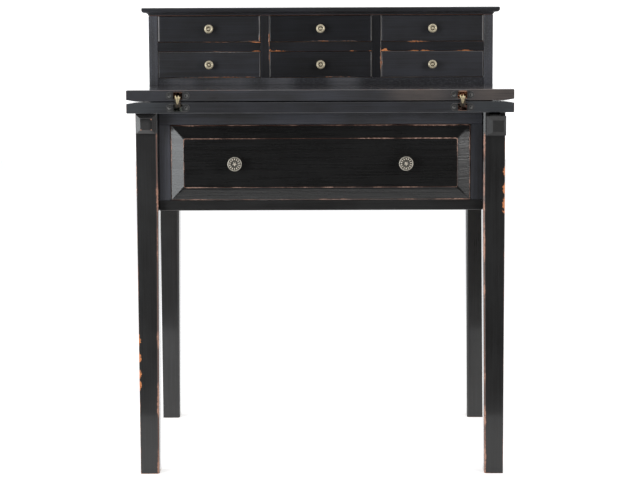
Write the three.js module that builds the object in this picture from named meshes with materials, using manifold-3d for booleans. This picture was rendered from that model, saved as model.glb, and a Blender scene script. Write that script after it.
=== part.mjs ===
// Fold-down desk: a case on four tapered legs, a fixed board with a folding writing leaf, and a low hutch.
// Millimetres, +Z up. +X is the right-hand side as seen from the front, and the front looks along -Y.
// Inside the desk group, y is the depth behind the front edge of the fixed board.

import * as THREE from 'three';
import { mergeVertices } from 'three/addons/utils/BufferGeometryUtils.js';
import Module from 'manifold-3d';

const wasm = await Module();
wasm.setup();

// Boards
const boardWidth = 796;
const boardDepth = 548;
const boardThickness = 23;
const boardUnderside = 763.5;
const leafDepth = 199;
const foldGap = 2;
const foldEdgeGap = 1;
const endBevelWidth = 20;
const endBevelDrop = 3;

// Clearances and small edges
const seatGap = 0.2;
const runningGap = 0.3;
const arris = 1.2;
const overrun = 5;

// Legs and case
const legSize = 45;
const legFootSize = 39.5;
const legChamfer = 4;
const caseInset = 16;
const legSetback = 20;
const rearLegSetback = 5;
const caseSetback = 20;
const caseUnderside = 557.5;
const panelInset = 1.5;
const sidePanelThickness = 16;
const caseBackThickness = 16;
const frameThickness = 20;
const topRailHeight = 26.5;
const bottomRailHeight = 21.5;
const stileWidth = 25;

// Pull-out supports
const supportBarWidth = 20;
const supportBarHeight = 38;
const supportLength = 320;
const supportBlockWidth = 40.5;
const supportBlockHeight = 39.5;
const supportBlockDrop = 1.3;
const supportBlockDepth = 20;
const supportBlockFlat = 23.5;
const supportBlockBevel = 8;
const supportTopGap = 1;
const rightSupportDrop = 4;
const leftFlatShift = 1.5;
const rightFlatShift = 3.9;
const supportSidePlay = 1;
const supportDropPlay = 0.5;
const rightSupportDrawn = 30;
const guideRestHeight = 22;
const guideFenceWidth = 13.5;
const kickerWidth = 33;

// Large drawer
const drawerFrontThickness = 18;
const drawerFrontGap = 1.3;
const drawerBottomGap = 1;
const fieldRise = 11;
const fieldBevelWidth = 27;
const fieldCornerRadius = 4;
const fieldCornerSteps = 4;
const drawerSideThickness = 12;
const drawerSideGap = 1;
const drawerSideDrop = 3.5;
const drawerStopGap = 1.5;
const drawerBottomThickness = 6;
const drawerBottomHeight = 8;
const drawerGrooveDepth = 5;
const runnerBearing = 14;
const runnerGuideWidth = 20;
const runnerGuideHeight = 30;
const largeKnobInset = 133.7;
const largeKnobRadius = 15.5;
const largeKnobHeight = 25;
const largeKnobPetals = 14;

// Hutch
const hutchInset = 26;
const hutchLeafGap = 8;
const hutchRearSetback = 5;
const hutchSideThickness = 20;
const hutchDividerThickness = 19.2;
const hutchShelfThickness = 20.2;
const hutchBackThickness = 8;
const hutchBackInset = 1;
const plinthHeight = 39;
const plinthThickness = 20;
const hutchFloorThickness = 12;
const smallOpeningHeight = 57.3;
const corniceOverhang = 13.5;
const corniceThickness = 16.8;
const corniceFascia = 5.5;
const corniceCoveWidth = 6;
const corniceCoveHeight = 5.5;
const corniceSteps = 4;

// Small drawers
const smallFrontThickness = 14;
const smallFrontGap = 1;
const smallWall = 8;
const smallFloor = 4;
const smallBoxGap = 2;
const smallBoxDrop = 7;
const smallBoxStopGap = 1.5;
const smallKnobRadius = 9.5;
const smallKnobHeight = 16;
const smallKnobPetals = 8;
const stepsPerPetal = 4;

// Link hinges
const hingeInset = 106;
const hingePlateLength = 48;
const hingePlateHeight = 15.8;
const hingePlateThickness = 2;
const hingeCentreDrop = 12.6;
const hingeBoxWidth = 21;
const hingeBoxHeight = 15.4;
const hingeBoxDepth = 16;
const hingeWall = 0.8;
const hingeCheek = 1;
const linkThickness = 2.4;
const linkPlay = 0.6;
const linkHalfWidth = 1.2;
const linkPinRadius = 1.1;
const linkPinClearance = 0.2;
const linkSteps = 18;
const pinSides = 12;
const plateArcSteps = 8;

// Lines of a link, from its pivot to its free end: depth behind and height above the fold axis
const linkPivotDepth = 7;
const linkPivotDrop = 8;
const linkBendDepth = 2.3;
const linkBendRise = 6;
const linkMouthRise = 8.8;
const linkTipDepth = 2.5;
const linkTipRise = 11.8;

// Places worked out from the sizes above
const boardTop = boardUnderside + boardThickness;
const leafUnderside = boardTop + foldGap;
const leafTop = leafUnderside + boardThickness;
const foldAxisHeight = boardTop + foldGap / 2;
const foldAxisDepth = -foldEdgeGap / 2;
const legOuter = boardWidth / 2 - caseInset;
const legInner = legOuter - legSize;
const legCentre = (legOuter + legInner) / 2;
const frontLegRear = legSetback + legSize;
const rearLegRear = boardDepth - rearLegSetback;
const rearLegFront = rearLegRear - legSize;
const caseFront = legSetback + caseSetback;
const frameRear = caseFront + frameThickness;
const caseBackRear = rearLegRear - panelInset;
const caseBackFront = caseBackRear - caseBackThickness;
const panelOuter = legOuter - panelInset;
const panelInner = panelOuter - sidePanelThickness;
const panelFront = frontLegRear + seatGap;
const panelRear = rearLegFront - seatGap;
const caseTop = boardUnderside - seatGap;
const openingTop = boardUnderside - topRailHeight;
const openingBottom = caseUnderside + bottomRailHeight;
const openingHalf = legInner - stileWidth;
const slotHalf = supportBarWidth / 2 + supportSidePlay;
const originDepth = (boardDepth - rightSupportDrawn) / 2;
const hingeCentre = boardWidth / 2 - hingeInset;
const hutchHalf = boardWidth / 2 - hutchInset;
const hutchSetback = leafDepth + hutchLeafGap;
const drawerFrontHalf = openingHalf - drawerFrontGap;
const drawerFrontBottom = openingBottom + drawerBottomGap;
const drawerFrontTop = openingTop - drawerFrontGap;
const drawerFrontRear = caseFront + drawerFrontThickness;
const drawerFieldFront = caseFront - fieldRise;
const drawerSideOuter = openingHalf - drawerSideGap;
const drawerSideInner = drawerSideOuter - drawerSideThickness;
const drawerSideTop = openingTop - drawerSideDrop;
const drawerRear = caseBackFront - drawerStopGap;
const drawerPanelBottom = drawerFrontBottom + drawerBottomHeight;
const drawerPanelTop = drawerPanelBottom + drawerBottomThickness;
const runnerTop = drawerFrontBottom - runningGap;
const hutchBottom = boardTop + seatGap;
const hutchRear = boardDepth - hutchRearSetback;
const hutchBackRear = hutchRear - hutchBackInset;
const hutchBackFront = hutchBackRear - hutchBackThickness;
const hutchInner = hutchHalf - hutchSideThickness;
const hutchFloorTop = boardTop + plinthHeight;
const shelfBottom = hutchFloorTop + smallOpeningHeight;
const shelfTop = shelfBottom + hutchShelfThickness;
const hutchTop = shelfTop + smallOpeningHeight;
const smallOpeningWidth = (2 * hutchInner - 2 * hutchDividerThickness) / 3;
const dividerInner = smallOpeningWidth / 2;
const dividerCentre = dividerInner + hutchDividerThickness / 2;
const hutchLapDepth = (hutchSetback + hutchBackFront) / 2;

// Levels of a support's bar and of its mortise. The right-hand mortise is cut lower than the left-hand one.
const supportTop = (side) => boardUnderside - supportTopGap - (side > 0 ? rightSupportDrop : 0);
const supportBottom = (side) => supportTop(side) - supportBarHeight;
const supportRest = (side) => supportBottom(side) - runningGap;
const slotBottom = (side) => supportBottom(side) - supportDropPlay;

// Materials: one of its own for each piece
const blackPaint = () => new THREE.MeshStandardMaterial({ color: 0x1d1c1c, roughness: 0.42, metalness: 0 });
const drawerWood = () => new THREE.MeshStandardMaterial({ color: 0x9c7a52, roughness: 0.7, metalness: 0 });
const agedBrass = () => new THREE.MeshStandardMaterial({ color: 0x8f8470, roughness: 0.35, metalness: 1 });
const paintedBrass = () => new THREE.MeshStandardMaterial({ color: 0x33302c, roughness: 0.45, metalness: 0.5 });
const yellowBrass = () => new THREE.MeshStandardMaterial({ color: 0xb08a4e, roughness: 0.3, metalness: 1 });

const desk = new THREE.Group();
desk.position.y = -originDepth;

function addPiece(name, geometry, material) {
  const mesh = new THREE.Mesh(geometry, material);
  mesh.name = name;
  desk.add(mesh);
  return mesh;
}

// Solids for joins and cuts
function toSolid(geometry) {
  const bare = geometry.clone();
  bare.deleteAttribute('normal');
  bare.deleteAttribute('uv');
  const merged = mergeVertices(bare);
  const vertProperties = new Float32Array(merged.attributes.position.array);
  const triVerts = new Uint32Array(merged.index.array);
  return new wasm.Manifold(new wasm.Mesh({ numProp: 3, vertProperties, triVerts }));
}

function toGeometry(solid) {
  const mesh = solid.getMesh();
  const geometry = new THREE.BufferGeometry();
  geometry.setAttribute('position', new THREE.BufferAttribute(mesh.vertProperties.slice(), 3));
  geometry.setIndex(new THREE.BufferAttribute(mesh.triVerts.slice(), 1));
  geometry.computeVertexNormals();
  return geometry;
}

// A plain block between two corners
function block(x, y, z) {
  const geometry = new THREE.BoxGeometry(x[1] - x[0], y[1] - y[0], z[1] - z[0]);
  return geometry.translate((x[0] + x[1]) / 2, (y[0] + y[1]) / 2, (z[0] + z[1]) / 2);
}

// Turns a geometry extruded along z so that it runs along the named axis
function layAlong(geometry, axis) {
  const turn = new THREE.Matrix4();
  const right = new THREE.Vector3(1, 0, 0);
  const back = new THREE.Vector3(0, 1, 0);
  const up = new THREE.Vector3(0, 0, 1);
  if (axis === 'x') turn.makeBasis(back, up, right);
  if (axis === 'y') turn.makeBasis(up, right, back);
  return geometry.applyMatrix4(turn);
}

// Runs an outline from one place to another along an axis, with its two end edges eased where asked.
// The outline's points are (y, z) for axis x, (x, z) for axis y and (x, y) for axis z.
function runAlong(axis, outline, from, to, ease = 0) {
  const points = outline.map(([a, b]) => (axis === 'y' ? new THREE.Vector2(b, a) : new THREE.Vector2(a, b)));
  const geometry = new THREE.ExtrudeGeometry(new THREE.Shape(points), {
    depth: to - from - 2 * ease,
    bevelEnabled: ease > 0,
    bevelThickness: ease,
    bevelSize: ease,
    bevelOffset: -ease,
    bevelSegments: 1,
    steps: 1,
  });
  geometry.translate(0, 0, from + ease);
  return layAlong(geometry, axis);
}

// A rectangle with its four corners cut
function easedRectangle([a0, a1], [b0, b1], cut) {
  return [
    [a0 + cut, b0], [a1 - cut, b0], [a1, b0 + cut], [a1, b1 - cut],
    [a1 - cut, b1], [a0 + cut, b1], [a0, b1 - cut], [a0, b0 + cut],
  ];
}

// A board with all its edges eased
function easedBoard(x, y, z, ease = arris) {
  return runAlong('z', easedRectangle(x, y, ease), z[0], z[1], ease);
}

// Skins a stack of rings that have equally many points and closes both ends
function loft(rings) {
  const count = rings[0].length;
  const geometry = new THREE.BufferGeometry();
  const index = [];
  for (let ring = 0; ring + 1 < rings.length; ring += 1) {
    for (let i = 0; i < count; i += 1) {
      const a = ring * count + i;
      const b = ring * count + (i + 1) % count;
      index.push(a, b, b + count, a, b + count, a + count);
    }
  }
  const last = (rings.length - 1) * count;
  for (let i = 1; i + 1 < count; i += 1) {
    index.push(0, i + 1, i);
    index.push(last, last + i, last + i + 1);
  }
  geometry.setAttribute('position', new THREE.Float32BufferAttribute(rings.flat(2), 3));
  geometry.setIndex(index);
  geometry.computeVertexNormals();
  return geometry;
}

// Legs: square above the case's underside, below it tapered on the two inner faces. Corners run from the
// outer one inwards, then along the depth and back; the inner front corner is the widely chamfered one.
function legRing(side, outerY, inY, size, z) {
  const cuts = inY > 0 ? [arris, legChamfer, arris, arris] : [arris, arris, legChamfer, arris];
  const outline = [
    [cuts[0], 0], [size - cuts[1], 0], [size, cuts[1]], [size, size - cuts[2]],
    [size - cuts[2], size], [cuts[3], size], [0, size - cuts[3]], [0, cuts[0]],
  ];
  const ring = outline.map(([a, b]) => [side * (legOuter - a), outerY + inY * b, z]);
  return side * inY < 0 ? ring : ring.reverse();
}

function legBlank(side, outerY, inY) {
  return loft([
    legRing(side, outerY, inY, legFootSize, 0),
    legRing(side, outerY, inY, legSize, caseUnderside),
    legRing(side, outerY, inY, legSize, caseTop),
  ]);
}

function frontLeg(side) {
  const blank = toSolid(legBlank(side, legSetback, 1));
  const slot = block(
    [side * legCentre - slotHalf, side * legCentre + slotHalf],
    [legSetback - overrun, frontLegRear + overrun],
    [slotBottom(side), caseTop + overrun],
  );
  return toGeometry(blank.subtract(toSolid(slot)));
}

function addLegs() {
  for (const [side, word] of [[-1, 'left'], [1, 'right']]) {
    addPiece(`leg_front_${word}`, frontLeg(side), blackPaint());
    addPiece(`leg_rear_${word}`, legBlank(side, rearLegRear, -1), blackPaint());
  }
}

// Side panels, rebated inside at the top so that the support can slide past
function addSidePanels() {
  for (const [side, word] of [[-1, 'left'], [1, 'right']]) {
    const outline = [
      [panelInner, caseUnderside], [panelOuter, caseUnderside], [panelOuter, caseTop],
      [legCentre + slotHalf, caseTop], [legCentre + slotHalf, supportRest(side)],
      [panelInner, supportRest(side)],
    ].map(([x, z]) => [side * x, z]);
    addPiece(`side_panel_${word}`, runAlong('y', outline, panelFront, panelRear), blackPaint());
  }
}

// Face frame round the large drawer, and the case's back board
function addFrame() {
  const across = [-(legInner - seatGap), legInner - seatGap];
  const depth = [caseFront, frameRear];
  addPiece('front_rail_top', easedBoard(across, depth, [openingTop, caseTop]), blackPaint());
  addPiece('front_rail_bottom', easedBoard(across, depth, [caseUnderside, openingBottom]), blackPaint());
  for (const [side, word] of [[-1, 'left'], [1, 'right']]) {
    const width = [side * openingHalf, side * (legInner - seatGap)].sort((a, b) => a - b);
    const height = [openingBottom + seatGap, openingTop - seatGap];
    addPiece(`front_stile_${word}`, block(width, depth, height), blackPaint());
  }
  addPiece('case_back', easedBoard(across, [caseBackFront, caseBackRear], [caseUnderside, caseTop]), blackPaint());
}

// Rest and fence of each support, with the kicker that keeps the open drawer from tipping
function addSupportGuides() {
  const wall = panelInner - seatGap;
  const fence = legCentre - slotHalf;
  const fenceInner = fence - guideFenceWidth;
  for (const [side, word] of [[-1, 'left'], [1, 'right']]) {
    const rest = supportRest(side);
    const outline = [
      [fenceInner, rest - guideRestHeight], [wall, rest - guideRestHeight], [wall, rest], [fence, rest],
      [fence, caseTop], [fenceInner - kickerWidth, caseTop], [fenceInner - kickerWidth, openingTop],
      [fenceInner, openingTop],
    ].map(([x, z]) => [side * x, z]);
    addPiece(`support_guide_${word}`, runAlong('y', outline, panelFront, panelRear), drawerWood());
  }
}

// Runners under the large drawer's sides, with a guide strip beside each
function addDrawerRunners() {
  const wall = panelInner - seatGap;
  const guideTop = runnerTop + runnerGuideHeight;
  for (const [side, word] of [[-1, 'left'], [1, 'right']]) {
    const outline = [
      [openingHalf - runnerBearing, caseUnderside], [wall, caseUnderside], [wall, runnerTop],
      [openingHalf + runnerGuideWidth, runnerTop], [openingHalf + runnerGuideWidth, guideTop],
      [openingHalf, guideTop], [openingHalf, runnerTop], [openingHalf - runnerBearing, runnerTop],
    ].map(([x, z]) => [side * x, z]);
    addPiece(`drawer_runner_${word}`, runAlong('y', outline, panelFront, panelRear), drawerWood());
  }
}

// Hinge mortise in a board's front edge, about the hinge's own centre
function hingeMortise(side, level) {
  const centreX = side * hingeCentre;
  const centreZ = foldAxisHeight + level * hingeCentreDrop;
  const plate = hingePlate(hingePlateLength + 2 * seatGap, hingePlateHeight + 2 * seatGap);
  const recess = toSolid(runAlong('y', plate, -overrun, hingePlateThickness + seatGap));
  const halfWidth = hingeBoxWidth / 2 + seatGap;
  const halfHeight = hingeBoxHeight / 2 + seatGap;
  const pocket = toSolid(block(
    [-halfWidth, halfWidth],
    [-overrun, hingeBoxDepth + seatGap],
    [-halfHeight, halfHeight],
  ));
  return recess.add(pocket).translate([centreX, 0, centreZ]);
}

function hingePlate(length, height) {
  const radius = height / 2;
  const middle = length / 2 - radius;
  const shape = new THREE.Shape();
  shape.absarc(middle, 0, radius, -Math.PI / 2, Math.PI / 2, false);
  shape.absarc(-middle, 0, radius, Math.PI / 2, 3 * Math.PI / 2, false);
  return shape.getPoints(plateArcSteps).slice(0, -1).map((point) => [point.x, point.y]);
}

function cutHingeMortises(solid, level) {
  return solid.subtract(hingeMortise(-1, level)).subtract(hingeMortise(1, level));
}

// The fixed board, with its writing face bevelled down at both ends
function deskTop() {
  const half = boardWidth / 2;
  const section = [
    [-half + arris, boardUnderside], [half - arris, boardUnderside], [half, boardUnderside + arris],
    [half, boardTop - endBevelDrop], [half - endBevelWidth, boardTop], [-half + endBevelWidth, boardTop],
    [-half, boardTop - endBevelDrop], [-half, boardUnderside + arris],
  ];
  const side = easedRectangle([0, boardDepth], [boardUnderside, boardTop], arris);
  const long = toSolid(runAlong('y', section, -overrun, boardDepth + overrun));
  const across = toSolid(runAlong('x', side, -half - overrun, half + overrun));
  return toGeometry(cutHingeMortises(long.intersect(across), -1));
}

// The writing leaf, folded: its writing face looks down and is bevelled at both ends and at the far edge
function writingLeaf() {
  const half = boardWidth / 2;
  const section = [
    [-half + endBevelWidth, leafUnderside], [half - endBevelWidth, leafUnderside],
    [half, leafUnderside + endBevelDrop], [half, leafTop - arris], [half - arris, leafTop],
    [-half + arris, leafTop], [-half, leafTop - arris], [-half, leafUnderside + endBevelDrop],
  ];
  const side = [
    [arris, leafUnderside], [leafDepth - endBevelWidth, leafUnderside],
    [leafDepth, leafUnderside + endBevelDrop], [leafDepth, leafTop - arris], [leafDepth - arris, leafTop],
    [arris, leafTop], [0, leafTop - arris], [0, leafUnderside + arris],
  ];
  const long = toSolid(runAlong('y', section, -overrun, leafDepth + overrun));
  const across = toSolid(runAlong('x', side, -half - overrun, half + overrun));
  return toGeometry(cutHingeMortises(long.intersect(across), 1));
}

function addBoards() {
  addPiece('desk_top', deskTop(), blackPaint());
  addPiece('writing_leaf', writingLeaf(), blackPaint());
}

// Hinge case: a round-ended plate with a pocket behind it, bored through both cheeks for the link pin
function hingeCase(level) {
  const outline = hingePlate(hingePlateLength, hingePlateHeight);
  const plate = toSolid(runAlong('y', outline, 0, hingePlateThickness));
  const halfWidth = hingeBoxWidth / 2;
  const halfHeight = hingeBoxHeight / 2;
  const box = toSolid(block([-halfWidth, halfWidth], [0, hingeBoxDepth], [-halfHeight, halfHeight]));
  const pocket = toSolid(block(
    [-halfWidth + hingeCheek, halfWidth - hingeCheek],
    [-overrun, hingeBoxDepth - hingeWall],
    [-halfHeight + hingeWall, halfHeight - hingeWall],
  ));
  const bore = linkPin(linkPinRadius + linkPinClearance, hingeBoxWidth + 2 * overrun);
  const pivotDepth = linkPivotDepth + foldAxisDepth;
  const pivotRise = level * (linkPivotDrop - hingeCentreDrop);
  const bored = plate.add(box).subtract(pocket).subtract(bore.translate([0, pivotDepth, pivotRise]));
  return toGeometry(bored);
}

function linkPin(radius, length) {
  const cylinder = new THREE.CylinderGeometry(radius, radius, length, pinSides);
  return toSolid(cylinder.rotateZ(Math.PI / 2));
}

// Outline of one link: a strap of even width along a smooth line with round ends
function linkOutline() {
  const line = new THREE.CatmullRomCurve3([
    new THREE.Vector3(linkPivotDepth, -linkPivotDrop, 0),
    new THREE.Vector3(0, -linkMouthRise, 0),
    new THREE.Vector3(-linkBendDepth, -linkBendRise, 0),
    new THREE.Vector3(-linkBendDepth, linkBendRise, 0),
    new THREE.Vector3(0, linkMouthRise, 0),
    new THREE.Vector3(linkTipDepth, linkTipRise, 0),
  ], false, 'centripetal');
  const one = [];
  const other = [];
  for (let i = 0; i <= linkSteps; i += 1) {
    const point = line.getPointAt(i / linkSteps);
    const tangent = line.getTangentAt(i / linkSteps);
    const sideways = new THREE.Vector3(-tangent.y, tangent.x, 0).multiplyScalar(linkHalfWidth);
    const cap = tangent.clone().multiplyScalar(linkHalfWidth);
    if (i === 0) one.push(point.clone().sub(cap));
    one.push(point.clone().add(sideways));
    if (i === linkSteps) one.push(point.clone().add(cap));
    other.unshift(point.clone().sub(sideways));
  }
  return [...one, ...other].map((point) => [point.x, point.y]);
}

// A pair of links on their pin. Lower and upper pairs take alternate places across the pocket.
const linkPlaceShares = [-1.5, 0.5];

function linkPair(level) {
  const pitch = linkThickness + linkPlay;
  const outline = linkOutline().map(([depth, rise]) => [depth, -level * rise]);
  const places = linkPlaceShares.map((share) => -level * share * pitch);
  const pinLength = hingeBoxWidth - 2 * seatGap;
  let pair = linkPin(linkPinRadius, pinLength).translate([0, linkPivotDepth, level * linkPivotDrop]);
  for (const place of places) {
    const strap = runAlong('x', outline, place - linkThickness / 2, place + linkThickness / 2);
    pair = pair.add(toSolid(strap));
  }
  return toGeometry(pair);
}

function addHinges() {
  for (const [side, word] of [[-1, 'left'], [1, 'right']]) {
    for (const [level, height] of [[-1, 'lower'], [1, 'upper']]) {
      const caseMesh = addPiece(`hinge_case_${height}_${word}`, hingeCase(level), paintedBrass());
      caseMesh.position.set(side * hingeCentre, 0, foldAxisHeight + level * hingeCentreDrop);
      const links = addPiece(`hinge_links_${height}_${word}`, linkPair(level), yellowBrass());
      links.position.set(side * hingeCentre, foldAxisDepth, foldAxisHeight);
    }
  }
}

// Supports: a bar that slides through the leg, with a bevelled square block on its front end. The flat on
// each block lies a little to the right of its middle.
function support(side, drawn, flatShift) {
  const front = -drawn;
  const join = front + supportBlockDepth;
  const centreX = side * legCentre;
  const centreZ = supportTop(side) - supportBlockDrop - supportBlockHeight / 2;
  const section = (width, height, y, shift) => {
    const [x, z] = [width / 2, height / 2];
    return [[-x, -z], [x, -z], [x, z], [-x, z]].map(([a, b]) => [centreX + shift + a, y, centreZ + b]);
  };
  const head = loft([
    section(supportBlockFlat, supportBlockFlat, front, flatShift),
    section(supportBlockWidth, supportBlockHeight, front + supportBlockBevel, 0),
    section(supportBlockWidth, supportBlockHeight, join, 0),
  ].reverse());
  const bar = block(
    [centreX - supportBarWidth / 2, centreX + supportBarWidth / 2],
    [join - arris, join + supportLength],
    [supportBottom(side), supportTop(side)],
  );
  return toGeometry(toSolid(head).add(toSolid(bar)));
}

function addSupports() {
  addPiece('support_left', support(-1, 0, leftFlatShift), blackPaint());
  addPiece('support_right', support(1, rightSupportDrawn, rightFlatShift), blackPaint());
}

// Front of the large drawer: a bevel rises from its edge to a field with rounded corners
function largeDrawerFront() {
  const half = drawerFrontHalf;
  const low = drawerFrontBottom;
  const high = drawerFrontTop;
  const corners = [[-half, low, 2], [half, low, 3], [half, high, 0], [-half, high, 1]];
  const centres = corners.map(([x, z, quarter]) => {
    const inset = fieldBevelWidth + fieldCornerRadius;
    return [x - Math.sign(x) * inset, z === low ? low + inset : high - inset, quarter];
  });
  const positions = [];
  for (const y of [drawerFrontRear, caseFront]) {
    for (const [x, z] of corners) positions.push(x, y, z);
  }
  for (const [x, z, quarter] of centres) {
    for (let step = 0; step <= fieldCornerSteps; step += 1) {
      const angle = (quarter + step / fieldCornerSteps) * Math.PI / 2;
      positions.push(
        x + fieldCornerRadius * Math.cos(angle),
        drawerFieldFront,
        z + fieldCornerRadius * Math.sin(angle),
      );
    }
  }
  const index = [0, 3, 2, 0, 2, 1];
  const firstField = 8;
  const perCorner = fieldCornerSteps + 1;
  for (let i = 0; i < 4; i += 1) {
    const next = (i + 1) % 4;
    index.push(i, next, next + 4, i, next + 4, i + 4);
    const arc = firstField + i * perCorner;
    const nextArc = firstField + next * perCorner;
    for (let step = 0; step < fieldCornerSteps; step += 1) index.push(i + 4, arc + step + 1, arc + step);
    index.push(i + 4, next + 4, nextArc, i + 4, nextArc, arc + fieldCornerSteps);
  }
  for (let i = 1; i + 1 < 4 * perCorner; i += 1) index.push(firstField, firstField + i, firstField + i + 1);
  const geometry = new THREE.BufferGeometry();
  geometry.setAttribute('position', new THREE.Float32BufferAttribute(positions, 3));
  geometry.setIndex(index);
  geometry.computeVertexNormals();
  return geometry;
}

function addLargeDrawer() {
  const boxFront = drawerFrontRear + seatGap;
  addPiece('large_drawer_front', largeDrawerFront(), blackPaint());
  for (const [side, word] of [[-1, 'left'], [1, 'right']]) {
    const groove = drawerSideInner + drawerGrooveDepth;
    const outline = [
      [drawerSideInner, drawerFrontBottom], [drawerSideOuter, drawerFrontBottom],
      [drawerSideOuter, drawerSideTop], [drawerSideInner, drawerSideTop],
      [drawerSideInner, drawerPanelTop + seatGap], [groove, drawerPanelTop + seatGap],
      [groove, drawerPanelBottom - seatGap], [drawerSideInner, drawerPanelBottom - seatGap],
    ].map(([x, z]) => [side * x, z]);
    addPiece(`large_drawer_side_${word}`, runAlong('y', outline, boxFront, drawerRear), drawerWood());
  }
  const panelHalf = drawerSideInner + drawerGrooveDepth - seatGap;
  const panel = block([-panelHalf, panelHalf], [boxFront, drawerRear], [drawerPanelBottom, drawerPanelTop]);
  addPiece('large_drawer_bottom', panel, drawerWood());
  const backHalf = drawerSideInner - seatGap;
  const back = block(
    [-backHalf, backHalf],
    [drawerRear - drawerSideThickness, drawerRear],
    [drawerPanelTop + seatGap, drawerSideTop],
  );
  addPiece('large_drawer_back', back, drawerWood());
}

// Turned knobs. Each profile point is a share of the radius and a share of the height, from the foot out.
// The third number says how far the petals swell there, as a share of the height.
const largeKnobShares = [
  [0.42, 0, 0], [0.42, 0.08, 0], [0.3, 0.16, 0], [0.28, 0.42, 0], [0.5, 0.56, 0], [0.9, 0.66, 0],
  [1, 0.74, 0], [1, 0.82, 0], [0.93, 0.88, 0], [0.84, 0.9, 0.024], [0.66, 0.95, 0.03], [0.52, 0.93, 0.012],
  [0.44, 0.86, 0], [0.34, 0.86, 0], [0.24, 0.93, 0], [0.12, 1, 0],
];
const smallKnobShares = [
  [0.45, 0, 0], [0.45, 0.1, 0], [0.36, 0.2, 0], [0.36, 0.46, 0], [0.75, 0.62, 0], [1, 0.74, 0],
  [0.96, 0.84, 0.012], [0.8, 0.9, 0.02], [0.62, 0.87, 0.012], [0.5, 0.8, 0], [0.3, 0.84, 0], [0.16, 0.92, 0],
];

function knob(radius, height, petals, shares) {
  const topShare = Math.max(...shares.map(([, rise]) => rise));
  const points = shares.map(([out, rise]) => new THREE.Vector2(out * radius, rise * height));
  const profile = [new THREE.Vector2(0, 0), ...points, new THREE.Vector2(0, topShare * height)];
  const geometry = new THREE.LatheGeometry(profile, petals * stepsPerPetal);
  const position = geometry.attributes.position;
  const rows = profile.length;
  for (let i = 0; i < position.count; i += 1) {
    const share = shares[i % rows - 1];
    if (share === undefined) continue;
    const angle = Math.atan2(position.getX(i), position.getZ(i));
    position.setY(i, position.getY(i) + share[2] * height * Math.cos(petals * angle));
  }
  geometry.computeVertexNormals();
  return geometry.rotateX(Math.PI);
}

function addLargeKnobs() {
  const middle = (drawerFrontBottom + drawerFrontTop) / 2;
  const centre = drawerFrontHalf - largeKnobInset;
  for (const [side, word] of [[-1, 'left'], [1, 'right']]) {
    const shape = knob(largeKnobRadius, largeKnobHeight, largeKnobPetals, largeKnobShares);
    const mesh = addPiece(`large_knob_${word}`, shape, agedBrass());
    mesh.position.set(side * centre, drawerFieldFront - seatGap, middle);
  }
}

// Hutch carcass
function addHutch() {
  const depth = [hutchSetback, hutchRear];
  for (const [side, word] of [[-1, 'left'], [1, 'right']]) {
    const width = [side * hutchInner, side * hutchHalf].sort((a, b) => a - b);
    addPiece(`hutch_side_${word}`, easedBoard(width, depth, [hutchBottom, hutchTop]), blackPaint());
  }
  const inner = hutchInner - seatGap;
  const floorRear = hutchBackFront - seatGap;
  const base = [
    [hutchSetback, hutchBottom], [hutchSetback + plinthThickness, hutchBottom],
    [hutchSetback + plinthThickness, hutchFloorTop - hutchFloorThickness],
    [floorRear, hutchFloorTop - hutchFloorThickness], [floorRear, hutchFloorTop],
    [hutchSetback, hutchFloorTop],
  ];
  addPiece('hutch_base', runAlong('x', base, -inner, inner), blackPaint());
  const back = block([-inner, inner], [hutchBackFront, hutchBackRear], [hutchBottom, hutchTop]);
  addPiece('hutch_back', back, drawerWood());
  addPiece('hutch_shelf', hutchShelf(inner, floorRear), blackPaint());
  for (const [side, word] of [[-1, 'left'], [1, 'right']]) {
    addPiece(`hutch_divider_${word}`, hutchDivider(side, floorRear), blackPaint());
  }
  addPiece('hutch_cornice', hutchCornice(), blackPaint());
}

// The shelf is lapped over the dividers: it is notched from the front and they are notched from the rear
function hutchShelf(inner, rear) {
  const outline = [[-inner, hutchSetback]];
  for (const side of [-1, 1]) {
    const low = side * dividerCentre - hutchDividerThickness / 2 - seatGap;
    const high = side * dividerCentre + hutchDividerThickness / 2 + seatGap;
    const lap = hutchLapDepth + seatGap;
    outline.push([low, hutchSetback], [low, lap], [high, lap], [high, hutchSetback]);
  }
  outline.push([inner, hutchSetback], [inner, rear], [-inner, rear]);
  return runAlong('z', outline, shelfBottom, shelfTop);
}

function hutchDivider(side, rear) {
  const bottom = hutchFloorTop + seatGap;
  const top = hutchTop;
  const outline = [
    [hutchSetback, bottom], [rear, bottom], [rear, shelfBottom - seatGap],
    [hutchLapDepth, shelfBottom - seatGap], [hutchLapDepth, shelfTop + seatGap],
    [rear, shelfTop + seatGap], [rear, top], [hutchSetback, top],
  ];
  const low = side * dividerCentre - hutchDividerThickness / 2;
  return runAlong('x', outline, low, low + hutchDividerThickness);
}

// Cornice: a fascia, a round below it and a small cove that runs into the hutch, mitred at both front corners
function hutchCornice() {
  const roundWidth = corniceOverhang - corniceCoveWidth;
  const bottom = hutchTop + seatGap;
  const top = bottom + corniceThickness;
  const roundBottom = bottom + corniceCoveHeight;
  const fasciaBottom = top - corniceFascia;
  const profile = [];
  for (let step = 0; step <= corniceSteps; step += 1) {
    const angle = step / corniceSteps * Math.PI / 2;
    const out = corniceCoveWidth * (1 - Math.cos(angle));
    profile.push([out, bottom + corniceCoveHeight * Math.sin(angle)]);
  }
  for (let step = 1; step <= corniceSteps; step += 1) {
    const angle = step / corniceSteps * Math.PI / 2;
    const out = corniceCoveWidth + roundWidth * Math.sin(angle);
    profile.push([out, roundBottom + (fasciaBottom - roundBottom) * (1 - Math.cos(angle))]);
  }
  profile.push([corniceOverhang, top - arris], [corniceOverhang - arris, top]);
  const rings = profile.map(([out, z]) => {
    const half = hutchHalf + out;
    const front = hutchSetback - out;
    return [[-half, front, z], [half, front, z], [half, hutchRear, z], [-half, hutchRear, z]];
  });
  return loft(rings);
}

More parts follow.
